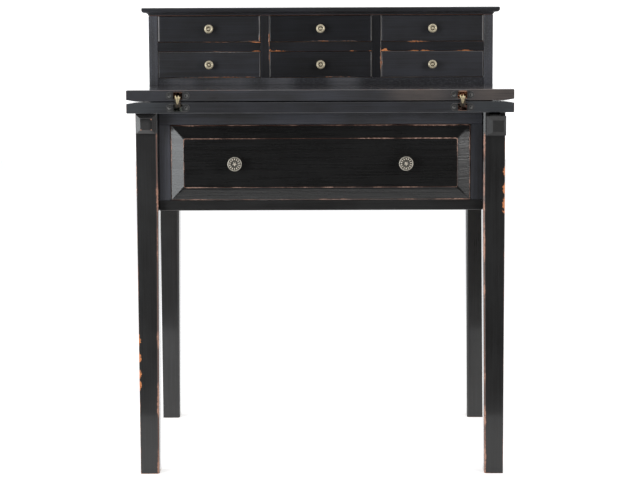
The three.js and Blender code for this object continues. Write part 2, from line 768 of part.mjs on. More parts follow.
// Small drawers, three across and two high
function addSmallDrawers() {
  const pitch = smallOpeningWidth + hutchDividerThickness;
  for (const [row, bottom] of [['top', shelfTop], ['bottom', hutchFloorTop]]) {
    for (const [place, word] of [[-1, 'left'], [0, 'middle'], [1, 'right']]) {
      addSmallDrawer(`${row}_${word}`, place * pitch, bottom);
    }
  }
}

function addSmallDrawer(suffix, centreX, bottom) {
  const top = bottom + smallOpeningHeight;
  const frontHalf = smallOpeningWidth / 2 - smallFrontGap;
  const front = easedBoard(
    [centreX - frontHalf, centreX + frontHalf],
    [hutchSetback, hutchSetback + smallFrontThickness],
    [bottom + smallFrontGap, top - smallFrontGap],
  );
  addPiece(`small_drawer_front_${suffix}`, front, blackPaint());
  const boxHalf = smallOpeningWidth / 2 - smallBoxGap;
  const boxFront = hutchSetback + smallFrontThickness + seatGap;
  const boxRear = hutchBackFront - smallBoxStopGap;
  const boxBottom = bottom + runningGap;
  const shell = toSolid(block(
    [centreX - boxHalf, centreX + boxHalf],
    [boxFront, boxRear],
    [boxBottom, top - smallBoxDrop],
  ));
  const hollow = toSolid(block(
    [centreX - boxHalf + smallWall, centreX + boxHalf - smallWall],
    [boxFront + smallWall, boxRear - smallWall],
    [boxBottom + smallFloor, top + overrun],
  ));
  addPiece(`small_drawer_box_${suffix}`, toGeometry(shell.subtract(hollow)), drawerWood());
  const shape = knob(smallKnobRadius, smallKnobHeight, smallKnobPetals, smallKnobShares);
  const mesh = addPiece(`small_knob_${suffix}`, shape, agedBrass());
  mesh.position.set(centreX, hutchSetback - seatGap, (bottom + top) / 2);
}

addLegs();
addSidePanels();
addFrame();
addSupportGuides();
addDrawerRunners();
addBoards();
addHinges();
addSupports();
addLargeDrawer();
addLargeKnobs();
addHutch();
addSmallDrawers();

export default desk;
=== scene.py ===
# %% [markdown]
# # A black fold-down desk, dressed for its picture
# The joiner's work is already done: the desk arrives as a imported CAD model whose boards, drawers, supports
# and hinges have their real sizes and places. This lesson gives it what a plain solid lacks: rubbed black
# paint over bare wood, aged brass, cast knobs and hinge screws, and a small studio to look at it in.
#
# Everything is in metres. The desk stands on z = 0 and its front looks along -Y.

import math

import bmesh
import bpy
from mathutils import Matrix, Vector


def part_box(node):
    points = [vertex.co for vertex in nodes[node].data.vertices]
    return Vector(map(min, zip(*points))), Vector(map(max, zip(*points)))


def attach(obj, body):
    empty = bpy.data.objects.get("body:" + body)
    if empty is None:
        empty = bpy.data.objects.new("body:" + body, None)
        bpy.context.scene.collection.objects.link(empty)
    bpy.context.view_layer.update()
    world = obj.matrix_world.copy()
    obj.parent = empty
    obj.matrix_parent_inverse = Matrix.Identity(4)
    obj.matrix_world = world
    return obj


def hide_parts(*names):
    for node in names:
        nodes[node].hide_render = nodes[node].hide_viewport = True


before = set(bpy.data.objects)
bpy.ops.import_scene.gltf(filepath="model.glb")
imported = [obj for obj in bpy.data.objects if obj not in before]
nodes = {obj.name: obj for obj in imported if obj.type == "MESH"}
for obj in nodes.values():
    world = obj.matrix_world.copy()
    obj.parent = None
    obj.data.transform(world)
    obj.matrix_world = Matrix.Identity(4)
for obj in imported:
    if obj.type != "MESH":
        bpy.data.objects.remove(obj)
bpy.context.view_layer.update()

# %% [markdown]
# ## The camera
# The photograph was taken from far away with a long lens, a little above the hutch and looking slightly down.
# A camera could be placed by eye and nudged, but straight furniture lets it be worked out: the corners of the
# boards, drawers and feet fix the lens, the height and the tilt together. A small downward shift keeps the feet
# in the frame without tilting the camera any more, as a photographer does with a rising front.

# %% Camera
LENS = 98.05
CAMERA_PLACE = Vector((0.0329, -3.827, 1.0194))
LOOK_DOWN = math.radians(6.17)
LOOK_LEFT = math.radians(0.54)
LEAN = math.radians(-0.25)
SHIFT_DOWN = -0.10


def camera_axes(down, left, lean):
    """Right, up and backward directions of a camera that looks along +Y, turned by three small angles."""
    forward = Vector((-math.sin(left) * math.cos(down), math.cos(left) * math.cos(down), -math.sin(down)))
    level = Vector((math.cos(left), math.sin(left), 0))
    upright = level.cross(forward)
    right = math.cos(lean) * level + math.sin(lean) * upright
    up = -math.sin(lean) * level + math.cos(lean) * upright
    return right, up, -forward


camera_data = bpy.data.cameras.new("camera")
camera_data.lens = LENS
camera_data.shift_y = SHIFT_DOWN
camera = bpy.data.objects.new("camera", camera_data)
turn = Matrix(camera_axes(LOOK_DOWN, LOOK_LEFT, LEAN)).transposed().to_4x4()
camera.matrix_world = Matrix.Translation(CAMERA_PLACE) @ turn
bpy.context.scene.collection.objects.link(camera)
bpy.context.scene.camera = camera
bpy.context.scene.view_settings.view_transform = "Standard"
print("camera", round(-CAMERA_PLACE.y, 2), "m in front,", round(CAMERA_PLACE.z, 2), "m high")

# %% [markdown]
# ## Small helpers for shader nodes
# A material is a tree of nodes. Placing and wiring every node takes three lines in Blender's own calls, so two
# helpers make it one: `put` adds a node and fills its sockets, either with a number or with a wire from another
# node, and `calc` does the same for one step of arithmetic. The others are the few sums that come back often.

# %% Node helpers
def put(tree, kind, inputs=None, **settings):
    """Adds a node. Each entry of inputs is a value, or another node's output to wire in."""
    node = tree.nodes.new(kind)
    for name, value in settings.items():
        setattr(node, name, value)
    for key, value in (inputs or {}).items():
        if isinstance(value, bpy.types.NodeSocket):
            tree.links.new(value, node.inputs[key])
        else:
            node.inputs[key].default_value = value
    return node


def calc(tree, operation, *values, clamp=False):
    """One step of arithmetic on numbers or wires."""
    inputs = dict(enumerate(values))
    return put(tree, "ShaderNodeMath", inputs, operation=operation, use_clamp=clamp).outputs[0]


def diagonal(tree, a, b):
    """Length of the diagonal of a rectangle with sides a and b."""
    return calc(tree, "SQRT", calc(tree, "MULTIPLY_ADD", a, a, calc(tree, "MULTIPLY", b, b)))


def beyond(tree, value, limit):
    """How far a number of either sign goes past a limit."""
    return calc(tree, "SUBTRACT", calc(tree, "ABSOLUTE", value), limit)


def fade(tree, value, start, end):
    """0 at start and 1 at end, smooth between them and held beyond."""
    inputs = {"Value": value, "From Min": start, "From Max": end}
    return put(tree, "ShaderNodeMapRange", inputs, interpolation_type="SMOOTHSTEP").outputs["Result"]


def blend_colours(tree, share, first, second, how="MIX"):
    """Mixes two colours, each a value or a wire."""
    inputs = {"Factor": share, 6: first, 7: second}
    return put(tree, "ShaderNodeMix", inputs, data_type="RGBA", blend_type=how).outputs[2]


def new_material(name):
    """An empty material that ends in a Principled shader."""
    material = bpy.data.materials.new(name)
    material.use_nodes = True
    tree = material.node_tree
    tree.nodes.clear()
    shader = put(tree, "ShaderNodeBsdfPrincipled")
    put(tree, "ShaderNodeOutputMaterial", {"Surface": shader.outputs[0]})
    return material, tree, shader


# %% [markdown]
# ## The studio
# The desk stands on white paper, with more white paper hung far behind it. The floor catches a soft contact
# shadow. What the camera, and anything glossy, sees beyond the desk is the white itself. Turning the lamps up
# until the paper burns out would also wash out the black paint, so the white is added only for the rays that look
# straight at it.
#
# All the sheets of the studio are made in one way: an edge as wide as the sheet is extruded, step by step.

# %% Floor and surroundings
def folded_sheet(name, half_width, start, steps, material):
    """A sheet unrolled from start along steps; both are (y, z)."""
    shape = bmesh.new()
    ends = [shape.verts.new((x, *start)) for x in (-half_width, half_width)]
    strip = [shape.edges.new(ends)]
    for y, z in steps:
        made = bmesh.ops.extrude_edge_only(shape, edges=strip)["geom"]
        strip = [item for item in made if isinstance(item, bmesh.types.BMEdge)]
        corners = [item for item in made if isinstance(item, bmesh.types.BMVert)]
        bmesh.ops.translate(shape, verts=corners, vec=(0, y, z))
    mesh = bpy.data.meshes.new(name)
    shape.to_mesh(mesh)
    shape.free()
    mesh.materials.append(material)
    sheet = bpy.data.objects.new(name, mesh)
    bpy.context.scene.collection.objects.link(sheet)
    return sheet


def sees_background(tree):
    """1 for rays from the camera, from a mirror or through glass, 0 for the light that falls on the desk."""
    path = put(tree, "ShaderNodeLightPath")
    shiny = calc(tree, "MAXIMUM", path.outputs["Is Glossy Ray"], path.outputs["Is Transmission Ray"])
    return calc(tree, "MAXIMUM", path.outputs["Is Camera Ray"], shiny)


def white_paper(name, glow):
    material, tree, shader = new_material(name)
    coords = put(tree, "ShaderNodeTexCoord").outputs["Object"]
    fibre = put(tree, "ShaderNodeTexNoise", {"Vector": coords, "Scale": 3.0, "Detail": 4.0}).outputs["Fac"]
    colour = blend_colours(tree, fibre, (0.84, 0.84, 0.84, 1), (0.88, 0.88, 0.88, 1))
    tree.links.new(colour, shader.inputs["Base Color"])
    shader.inputs["Roughness"].default_value = 0.9
    shader.inputs["Specular IOR Level"].default_value = 0.1
    shader.inputs["Emission Color"].default_value = (1, 1, 1, 1)
    tree.links.new(calc(tree, "MULTIPLY", sees_background(tree), glow), shader.inputs["Emission Strength"])
    return material


PAPER_HALF = 9.0
FLOOR_GLOW, BACKDROP_GLOW = 0.62, 1.0
BACKDROP_Y, BACKDROP_HEIGHT = 6.5, 3.0
floor_paper = white_paper("floor paper", FLOOR_GLOW)
backdrop_paper = white_paper("backdrop paper", BACKDROP_GLOW)
folded_sheet("paper_floor", PAPER_HALF, (-PAPER_HALF, 0), [(2 * PAPER_HALF, 0)], floor_paper)
folded_sheet("paper_backdrop", PAPER_HALF, (BACKDROP_Y, 0), [(0, BACKDROP_HEIGHT)], backdrop_paper)

WORLD_FILL = 0.42
world = bpy.data.worlds.new("studio air")
world.use_nodes = True
bpy.context.scene.world = world
tree = world.node_tree
tree.nodes.clear()
soft_fill = put(tree, "ShaderNodeBackground", {"Color": (0.97, 0.98, 1.0, 1), "Strength": WORLD_FILL})
white = put(tree, "ShaderNodeBackground", {"Color": (1, 1, 1, 1), "Strength": 1.0})
both = put(tree, "ShaderNodeMixShader", {0: sees_background(tree), 1: soft_fill.outputs[0], 2: white.outputs[0]})
put(tree, "ShaderNodeOutputWorld", {"Surface": both.outputs[0]})
print("paper", 2 * PAPER_HALF, "m wide, world fill", WORLD_FILL)

# %% [markdown]
# ## Lamps
# In the photograph the bevels that face left are bright and each knob throws its shadow to the right, so the
# main light is a wide soft box at the left front, about level with the drawers, with a lit card beside the desk.
# A narrow box stands at the right, and a large, weak one hangs above. `soft_box` takes a brightness instead of a
# power, because that is what a reflection shows, and because it stays the same when the box is made larger.

# %% Soft boxes
def soft_box(name, place, target, width, height, brightness, colour):
    """A rectangular lamp that looks from place to target."""
    data = bpy.data.lights.new(name, "AREA")
    data.shape = "RECTANGLE"
    data.size = width
    data.size_y = height
    data.energy = brightness * math.pi * width * height
    data.color = colour
    lamp = bpy.data.objects.new(name, data)
    direction = Vector(target) - Vector(place)
    lamp.matrix_world = Matrix.Translation(place) @ direction.to_track_quat("-Z", "Y").to_matrix().to_4x4()
    bpy.context.scene.collection.objects.link(lamp)
    print(name, round(data.energy, 1), "W")
    return lamp


DESK_MIDDLE = (0.0, 0.0, 0.6)
soft_box("left soft box", (-2.2, -2.15, 0.95), DESK_MIDDLE, 1.1, 2.0, 5.7, (0.93, 0.97, 1.0))
soft_box("left side card", (-3.0, -0.1, 0.8), (-0.4, -0.1, 0.75), 1.2, 1.6, 4.0, (0.93, 0.98, 1.0))
soft_box("right soft box", (2.3, -1.9, 1.40), DESK_MIDDLE, 0.6, 1.8, 7.4, (1.0, 0.99, 0.98))
soft_box("top soft box", (0.0, 0.3, 3.0), (0.0, 0.1, 0.6), 2.6, 1.6, 1.4, (1.0, 1.0, 1.0))

# %% [markdown]
# ## A black cloth in front
# Satin black paint mirrors whatever stands before it. A photographer hangs black cloth round the camera, so that
# the flat fronts stay deep and only the bevels pick up the soft boxes. The cloth runs along the floor, up behind
# the camera and back over it: the last part is what keeps the upper bevels of the drawer black. Only reflections
# see it: it is hidden from the camera, casts no shadow and keeps no soft light from the desk or the floor.

# %% Black cloth
black_cloth, tree, shader = new_material("black cloth")
coords = put(tree, "ShaderNodeTexCoord").outputs["Object"]
weave = put(tree, "ShaderNodeTexNoise", {"Vector": coords, "Scale": 400.0, "Detail": 2.0}).outputs["Fac"]
thread = blend_colours(tree, weave, (0.012, 0.012, 0.012, 1), (0.03, 0.03, 0.03, 1))
tree.links.new(thread, shader.inputs["Base Color"])
shader.inputs["Roughness"].default_value = 1.0
shader.inputs["Specular IOR Level"].default_value = 0.0
CLOTH_HALF = 3.2
CLOTH_START = (-0.73, 0.004)
CLOTH_STEPS = [(-5.02, 0.0), (0.0, 3.4), (4.1, 0.3)]  # to the camera, up behind it, back over it
cloth = folded_sheet("black_cloth", CLOTH_HALF, CLOTH_START, CLOTH_STEPS, black_cloth)
cloth.visible_camera = False
cloth.visible_diffuse = False
cloth.visible_shadow = False
print("black cloth of", len(cloth.data.polygons), "panels")

# %% [markdown]
# ## Where paint wears
# Hands, chairs and dust cloths rub paint off along edges first. An edge could be found with a bevel node, which
# is slow, or painted by hand, but nearly every piece here is a box, and for a box the edge is simple arithmetic:
# a point on the surface lies on one face, so the smallest of its three distances to the faces is zero, and the
# second smallest is its distance to the nearest edge.
#
# The four edges round the front of a piece are kept apart, because the photograph shows that they don't wear
# alike: a drawer's lower edge is rubbed by fingers, its upper one hardly at all. Dividing a distance by a weight
# below 1 moves that edge further away, so it wears less. Where the line along an edge is a painted highlight or
# a painted shade, the weights also set how much of it each edge shows.

# %% Distance to the nearest worn edge of a box
def object_point(tree):
    """The point on the piece, as one vector and as three numbers."""
    point = put(tree, "ShaderNodeTexCoord").outputs["Object"]
    split = put(tree, "ShaderNodeSeparateXYZ", {0: point})
    return point, split.outputs


def within(tree, value, low, high):
    """How far a number is inside two limits."""
    from_middle = calc(tree, "ABSOLUTE", calc(tree, "SUBTRACT", value, (low + high) / 2))
    return calc(tree, "SUBTRACT", (high - low) / 2, from_middle)


def second_smallest(tree, a, b, c):
    smaller, larger = calc(tree, "MINIMUM", a, b), calc(tree, "MAXIMUM", a, b)
    return calc(tree, "MAXIMUM", smaller, calc(tree, "MINIMUM", larger, c))


def box_edges(low, high, left=1.0, right=1.0, bottom=1.0, top=1.0, ease=0.0):
    """A function that measures the distance to the edges of a box. ease takes off half of a small bevel."""

    def edge(tree, xyz):
        across = within(tree, xyz[0], low.x, high.x)
        upright = within(tree, xyz[2], low.z, high.z)
        behind = second_smallest(tree, across, upright, calc(tree, "SUBTRACT", high.y, xyz[1]))
        nearest = calc(tree, "SUBTRACT", behind, ease)
        front = calc(tree, "SUBTRACT", xyz[1], low.y)
        for axis, weights in ((0, (left, right)), (2, (bottom, top))):
            faces = (calc(tree, "SUBTRACT", xyz[axis], low[axis]), calc(tree, "SUBTRACT", high[axis], xyz[axis]))
            for face, weight in zip(faces, weights):
                rim = calc(tree, "SUBTRACT", calc(tree, "MAXIMUM", face, front), ease)
                nearest = calc(tree, "MINIMUM", nearest, calc(tree, "DIVIDE", rim, weight))
        return nearest

    return edge


# %% [markdown]
# ## Black paint
# The finish has three layers: pale wood, a rust-red undercoat, and a thin black that was brushed along the grain
# and rubbed through at the edges. One function lays them all:
# - the grain is a noise that is stretched along the board, and raises the surface a little,
# - a slow noise makes patches that are warmer or cooler, duller or glossier,
# - a ragged noise says how far the rubbing reaches from an edge: mostly a hairline, seldom a millimetre,
# - a few listed chips are rubbed harder and show orange wood, as in the photograph,
# - hazes are soft clouds of a colour under the rubbed edges, mostly tones of the paint and on the left support's
# block painted shade, and spots are small dabs of bare wood on top,
# - dust makes tiny grey specks.
#
# A waxed top coat mirrors the white room where it is seen at a flat angle. That is why the inner sides of the
# legs look almost white in the photograph although they are painted black. The wax is gone where the paint is.

# %% Black paint
GRAIN_LENGTH, GRAIN_WIDTH = 6.0, 420.0
STROKE_LENGTH, STROKE_WIDTH, BRUSHED_WIDTH = 9.0, 130.0, 200.0
PATCH_SCALE, SLOW_SCALE, RAGGED_SCALE, SPECK_SCALE = 7.0, 14.0, 150.0, 420.0
COOL_AND_WARM = ((0.94, 0.96, 1.13), (1.03, 1.0, 1.0))
NEUTRAL = ((1.0, 0.985, 0.985), (1.03, 0.985, 0.96))
TONE_SPREAD = 0.26
UNDERCOAT = (0.10, 0.040, 0.026, 1)
# The edge grey is a painted highlight: the reflection that the eased edges of the small drawers and dividers would
# catch.
EDGE_HIGHLIGHT_GREY = (0.42, 0.40, 0.39, 1)
WOOD_PINK = (0.42, 0.26, 0.20, 1)
WOOD_ORANGE = (0.66, 0.24, 0.09, 1)
DUST = (0.15, 0.15, 0.16, 1)
EASED = 0.0003
CHIP_REACH, BARE_SOFTNESS = 0.0045, 0.0003
COAT_ROUGHNESS, COAT_IOR, COAT_LOST = 0.08, 1.3, 0.85
SUNK_DEPTHS = (0.0004, 0.002)


def own_shift(name):
    """An offset of a piece's own, so that no two boards show the same grain."""
    number = sum(ord(letter) * (place + 3) for place, letter in enumerate(name))
    return (number % 89 * 0.31, number % 97 * 0.23, number % 83 * 0.37)


def grain_noise(tree, point, name, grain, length=GRAIN_LENGTH, width=GRAIN_WIDTH, same_at_all_depths=False):
    """Fine streaks that run along one axis of a piece."""
    scale = [length if axis == grain else width for axis in "xyz"]
    if same_at_all_depths:
        scale[1] = 0.0
    stretched = put(tree, "ShaderNodeMapping", {"Vector": point, "Location": own_shift(name), "Scale": scale})
    inputs = {"Vector": stretched.outputs[0], "Scale": 1.0, "Detail": 6.0, "Roughness": 0.62}
    return put(tree, "ShaderNodeTexNoise", inputs).outputs["Fac"]


def plain_noise(tree, point, name, scale, detail=4.0, roughness=0.55):
    moved = put(tree, "ShaderNodeMapping", {"Vector": point, "Location": own_shift(name)})
    inputs = {"Vector": moved.outputs[0], "Scale": scale, "Detail": detail, "Roughness": roughness}
    return put(tree, "ShaderNodeTexNoise", inputs).outputs["Fac"]


def soft_ball(tree, point, place, radius):
    """1 within a quarter of the radius round a place, 0 beyond the radius."""
    apart = put(tree, "ShaderNodeVectorMath", {0: point, 1: place}, operation="DISTANCE").outputs["Value"]
    return fade(tree, apart, radius, radius / 4)


def chipped(tree, point, chips):
    """Each chip is a place, a radius and how hard it is rubbed; the hardest counts."""
    total = 0.0
    for place, radius, strength in chips:
        near = calc(tree, "MULTIPLY", soft_ball(tree, point, place, radius), strength)
        total = calc(tree, "MAXIMUM", total, near)
    return total


def tinted(tone, tint):
    return tuple(tone * part for part in tint) + (1,)


def black_paint(name, edge, grain, tone, wear=0.0002, line=UNDERCOAT, line_width=0.0006, wood=WOOD_PINK, chips=(),
                hazes=(), spots=(), sheen=0.27, wax=1.0, streaks=0.00016, brush=0.0, dust=0.0, tints=COOL_AND_WARM):
    """A painted piece's material.

    edge(tree, xyz) gives the distance to the nearest worn edge, and wear says how far the wood is bare there. line
    is the colour beside the bare wood, over line_width: undercoat brown on most pieces, a painted highlight on the
    small drawers and dividers, and painted shade on the rail and stiles. sheen is the paint's roughness, streaks is
    the height of the grain, and brush is how much the strokes of a coarse brush dull the parts behind the front
    face.
    """
    material, tree, shader = new_material("black paint, " + name)
    point, xyz = object_point(tree)
    grain_lines = grain_noise(tree, point, name, grain)
    patches = plain_noise(tree, point, name, PATCH_SCALE)
    stroke_width = BRUSHED_WIDTH if brush else STROKE_WIDTH
    strokes = grain_noise(tree, point, name, grain, STROKE_LENGTH, stroke_width, same_at_all_depths=bool(brush))
    ragged = fade(tree, plain_noise(tree, point, name, RAGGED_SCALE, 5.0, 0.7), 0.34, 0.68)
    slow = fade(tree, plain_noise(tree, point, name, SLOW_SCALE, 2.0), 0.42, 0.66)
    chip = chipped(tree, point, chips)
    hairline = calc(tree, "MULTIPLY", calc(tree, "MULTIPLY_ADD", slow, 2.4, 0.2), wear)
    chip_reach = calc(tree, "MULTIPLY", calc(tree, "MULTIPLY", chip, ragged), CHIP_REACH)
    reach = calc(tree, "ADD", calc(tree, "MULTIPLY", hairline, calc(tree, "ADD", ragged, 0.3)), chip_reach)
    distance = edge(tree, xyz)
    rim = fade(tree, distance, calc(tree, "ADD", reach, line_width), reach)
    bare = fade(tree, distance, reach, calc(tree, "SUBTRACT", reach, BARE_SOFTNESS))
    shade = calc(tree, "MULTIPLY_ADD", grain_lines, 0.4, calc(tree, "MULTIPLY", patches, 0.4))
    shade = calc(tree, "MULTIPLY_ADD", strokes, 0.1, calc(tree, "ADD", shade, 0.05))
    cool, warm = tints
    deep, pale = tinted(tone * (1 - TONE_SPREAD), warm), tinted(tone * (1 + TONE_SPREAD), cool)
    paint = blend_colours(tree, fade(tree, shade, 0.36, 0.64), deep, pale)
    for place, radius, colour in hazes:
        cloud = calc(tree, "MULTIPLY", soft_ball(tree, point, place, radius), fade(tree, shade, 0.3, 0.6))
        paint = blend_colours(tree, cloud, paint, colour)
    if dust:
        specks = fade(tree, plain_noise(tree, point, name, SPECK_SCALE, 2.0), 0.5, 0.66)
        paint = blend_colours(tree, calc(tree, "MULTIPLY", specks, dust), paint, DUST)
    timber = blend_colours(tree, fade(tree, chip, 0.05, 0.4), wood, WOOD_ORANGE)
    coloured = blend_colours(tree, calc(tree, "MULTIPLY", rim, 0.75), paint, line)
    coloured = blend_colours(tree, bare, coloured, timber)
    for place, radius, colour in spots:
        coloured = blend_colours(tree, soft_ball(tree, point, place, radius), coloured, colour)
    tree.links.new(coloured, shader.inputs["Base Color"])
    dull = calc(tree, "MULTIPLY_ADD", patches, 0.16, sheen - 0.08)
    dull = calc(tree, "MULTIPLY_ADD", grain_lines, 0.08, dull)
    if brush:
        dull = calc(tree, "MULTIPLY_ADD", fade(tree, strokes, 0.35, 0.65), brush, dull)
    tree.links.new(calc(tree, "MULTIPLY_ADD", bare, 0.3, dull, clamp=True), shader.inputs["Roughness"])
    if brush:
        sunk = fade(tree, calc(tree, "SUBTRACT", xyz[1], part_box(name)[0].y), *SUNK_DEPTHS)
        strokes = calc(tree, "MULTIPLY", strokes, sunk)
    height = calc(tree, "SUBTRACT", calc(tree, "MULTIPLY_ADD", strokes, 2.0, grain_lines), bare)
    bump = put(tree, "ShaderNodeBump", {"Height": height, "Strength": 0.6, "Distance": streaks})
    tree.links.new(bump.outputs[0], shader.inputs["Normal"])
    if brush:
        tree.links.new(bump.outputs[0], shader.inputs["Coat Normal"])
    tree.links.new(calc(tree, "MULTIPLY_ADD", rim, -COAT_LOST * wax, wax), shader.inputs["Coat Weight"])
    shader.inputs["Specular IOR Level"].default_value = 0.3
    shader.inputs["Coat Roughness"].default_value = COAT_ROUGHNESS
    shader.inputs["Coat IOR"].default_value = COAT_IOR
    return material


def dress(name, material):
    """Gives a CAD solid its material."""
    mesh = nodes[name].data
    mesh.materials.clear()
    mesh.materials.append(material)


def paint_box(name, grain, tone, edges=None, **how):
    """Paints a piece that is a box, or nearly one. edges are the weights of its front edges."""
    low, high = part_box(name)
    dress(name, black_paint(name, box_edges(low, high, **(edges or {})), grain, tone, **how))


# %% [markdown]
# ## Boards, case and hutch
# The grain follows the way a joiner cuts the stock: along the length of every rail, board and shelf, and upright
# in stiles, dividers and panels. Each piece has its own depth of black. The board edges are the greyest, while
# the fronts of the drawers are deeper; the large drawer's front is the deepest, and its tone also holds painted
# shade from the boards' overhang above it. `marks` turns short rows of places on a front, read off the photograph,
# into the chips, hazes and spots that the paint takes.

# %% Painted boards and frames
BOARD_Y, LEAF_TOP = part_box("desk_top")[0].y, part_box("writing_leaf")[1].z
HUTCH_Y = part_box("hutch_side_left")[0].y
SHELF_LOW, SHELF_TOP = (corner.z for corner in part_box("hutch_shelf"))
LOW_ON_SHELF, UPPER_FOOT, LOWER_FOOT = 0.8865, 0.904, 0.8265  # the feet are those of the drawer fronts
BROWN_HAZE, GREY_HAZE, DUSTY_HAZE = (0.106, 0.088, 0.079, 1), (0.055, 0.059, 0.063, 1), (0.11, 0.11, 0.12, 1)
LEAF_RUB, DARK_TOP = (0.22, 0.105, 0.07, 1), (0.010, 0.006, 0.005, 1)
BROWN_LINE = 0.0004
SHADED, BARE_SPOT = (0.006, 0.006, 0.006, 1), (0.5, 0.25, 0.16, 1)
SIDES = ("left", "right", "bottom", "top")
eased = {"ease": EASED}
faint = dict.fromkeys(SIDES, 0.15)
# Painted shade: a dark line along the rail's top under the board, and along the rail's end and the stiles beside the
# legs.
painted_shade_line = {"line": SHADED, "line_width": 0.0042, "wear": 0.00001}
# Painted highlight: a thin grey line along the eased edges of the small drawers and dividers.
highlight_line = {"line": EDGE_HIGHLIGHT_GREY, "line_width": 0.0014}
thin_line = {"line_width": 0.0004, "wear": 0.00005, "wood": LEAF_RUB}


def marks(y, *rows):
    """Places on a front at y. A row is x, z, a radius, and how hard it is rubbed or the colour it shows."""
    return [((x, y, z), radius, value) for x, z, radius, value in rows]


paint_box("desk_top", "x", 0.036, {**eased, "top": 0.03, "bottom": 0.4}, wear=0.00008,
          hazes=marks(BOARD_Y, (0.42, 0.775, 0.2, GREY_HAZE), (-0.42, 0.775, 0.2, GREY_HAZE)))
paint_box("writing_leaf", "x", 0.047, {**eased, "bottom": 0.03, "top": 0.9}, wear=0.00012, wood=LEAF_RUB,
          chips=marks(BOARD_Y, (-0.2354, LEAF_TOP, 0.10, 0.09), (0.11, LEAF_TOP, 0.07, 0.07),
                      (0.2131, LEAF_TOP, 0.05, 0.12)),
          hazes=marks(BOARD_Y, (0.42, 0.80, 0.20, BROWN_HAZE), (0.2, 0.812, 0.09, BROWN_HAZE))
          + marks(BOARD_Y + 0.15, *[(x, LEAF_TOP, 0.14, DARK_TOP) for x in (-0.32, -0.16, 0, 0.16, 0.32)]))
paint_box("front_rail_top", "x", 0.053, {"left": 1.0, "right": 0.4, "top": 0.4, "bottom": 0.01}, **painted_shade_line)
paint_box("front_rail_bottom", "x", 0.023, {**eased, **faint, "bottom": 0.6}, tints=NEUTRAL)
paint_box("case_back", "x", 0.035, eased)
for side, tone, legward in (("left", 0.062, (1.0, 0.01)), ("right", 0.039, (0.01, 0.4))):
    paint_box("front_stile_" + side, "z", tone, dict(zip(SIDES, (*legward, 0.01, 0.01))), **painted_shade_line)
    paint_box("side_panel_" + side, "y", 0.035, faint)
    paint_box("hutch_side_" + side, "z", 0.070, {**eased, **faint}, dust=0.35)

left_y, right_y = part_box("support_left")[0].y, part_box("support_right")[0].y
block_shade = [(x, 0.758, 0.016, SHADED) for x in (-0.372, -0.36, -0.348)]
block_shade += [(-0.342, z, 0.013, SHADED) for z in (0.745, 0.733, 0.722)]
block_corners = [(x, z, 0.0017, BARE_SPOT) for x, z in ((-0.347, 0.7515), (-0.3685, 0.7300), (-0.347, 0.7300))]
paint_box("support_left", "y", 0.046, wax=0.75, tints=NEUTRAL,
          hazes=marks(left_y, *block_shade), spots=marks(left_y, *block_corners))
paint_box("support_right", "y", 0.026, wax=0.1, sheen=0.5, tints=NEUTRAL,
          spots=marks(right_y, *[(x, 0.7190, 0.0012, BARE_SPOT) for x in (0.366, 0.372)]))

divider_edges = dict(zip(SIDES, (0.05, 0.5, 0.02, 0.02)))
paint_box("hutch_divider_left", "z", 0.028, divider_edges, **highlight_line,
          chips=marks(HUTCH_Y, (-0.111, 0.908, 0.018, 1.0), (-0.111, 0.872, 0.02, 0.5)))
paint_box("hutch_divider_right", "z", 0.019, divider_edges, **highlight_line,
          chips=marks(HUTCH_Y, (0.130, 0.866, 0.03, 0.8)))
dusty = ((-0.30, 0.05), (-0.20, 0.09), (-0.092, 0.05), (0.05, 0.05))
paint_box("hutch_base", "x", 0.033, faint, dust=0.35,
          hazes=marks(HUTCH_Y, *[(x, 0.822, radius, DUSTY_HAZE) for x, radius in dusty]))
paint_box("hutch_shelf", "x", 0.025, dict(zip(SIDES, (0.2, 0.2, 0.7, 0.7))), wear=0.0001, chips=marks(
    HUTCH_Y, (-0.1365, SHELF_TOP, 0.018, 0.9), (-0.1365, SHELF_LOW, 0.016, 0.7), (-0.104, LOW_ON_SHELF, 0.015, 2.6),
    (-0.094, SHELF_LOW, 0.024, 1.0), (-0.228, SHELF_TOP, 0.035, 0.25), (0.07, SHELF_LOW, 0.01, 0.6),
    (0.109, SHELF_LOW, 0.008, 0.8), (0.1365, LOW_ON_SHELF, 0.016, 2.2), (0.2035, SHELF_TOP, 0.02, 0.6),
    (0.2167, SHELF_LOW, 0.034, 0.7), (0.3108, SHELF_LOW, 0.022, 0.7)))


def cornice_edge(tree, xyz):
    """The cornice is rubbed along its top, and shows a brown line where it meets the frame below."""
    low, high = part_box("hutch_cornice")
    rims = box_edges(low, high, **{**eased, **faint})(tree, xyz)
    foot = calc(tree, "SUBTRACT", xyz[2], low.z + BROWN_LINE)
    return calc(tree, "MINIMUM", rims, foot)


dress("hutch_cornice", black_paint("hutch_cornice", cornice_edge, "x", 0.032, **thin_line))

# Each small drawer front: its tone, the weights of its left, right, lower and upper edge, and its chips
small_fronts = {
    "top_left": (0.029, (2.6, 1.7, 0.4, 0.2), [(-0.15, UPPER_FOOT, 0.03, 0.5)]),
    "top_middle": (0.018, (1.0, 1.2, 0.4, 0.2), [(-0.0056, UPPER_FOOT, 0.035, 0.8), (0.05, UPPER_FOOT, 0.04, 0.5)]),
    "top_right": (0.033, (0.9, 1.9, 0.4, 0.2), [(0.205, UPPER_FOOT, 0.02, 0.9)]),
    "bottom_left": (0.043, (0.7, 0.9, 0.5, 0.55), [(-0.2, LOWER_FOOT, 0.08, 0.7), (-0.27, LOWER_FOOT, 0.05, 0.4)]),
    "bottom_middle": (0.025, (0.9, 1.5, 0.4, 0.2), [(0.035, LOWER_FOOT, 0.05, 0.8)]),
    "bottom_right": (0.045, (1.3, 0.8, 0.6, 0.6), [(0.131, 0.86, 0.012, 0.3)])}
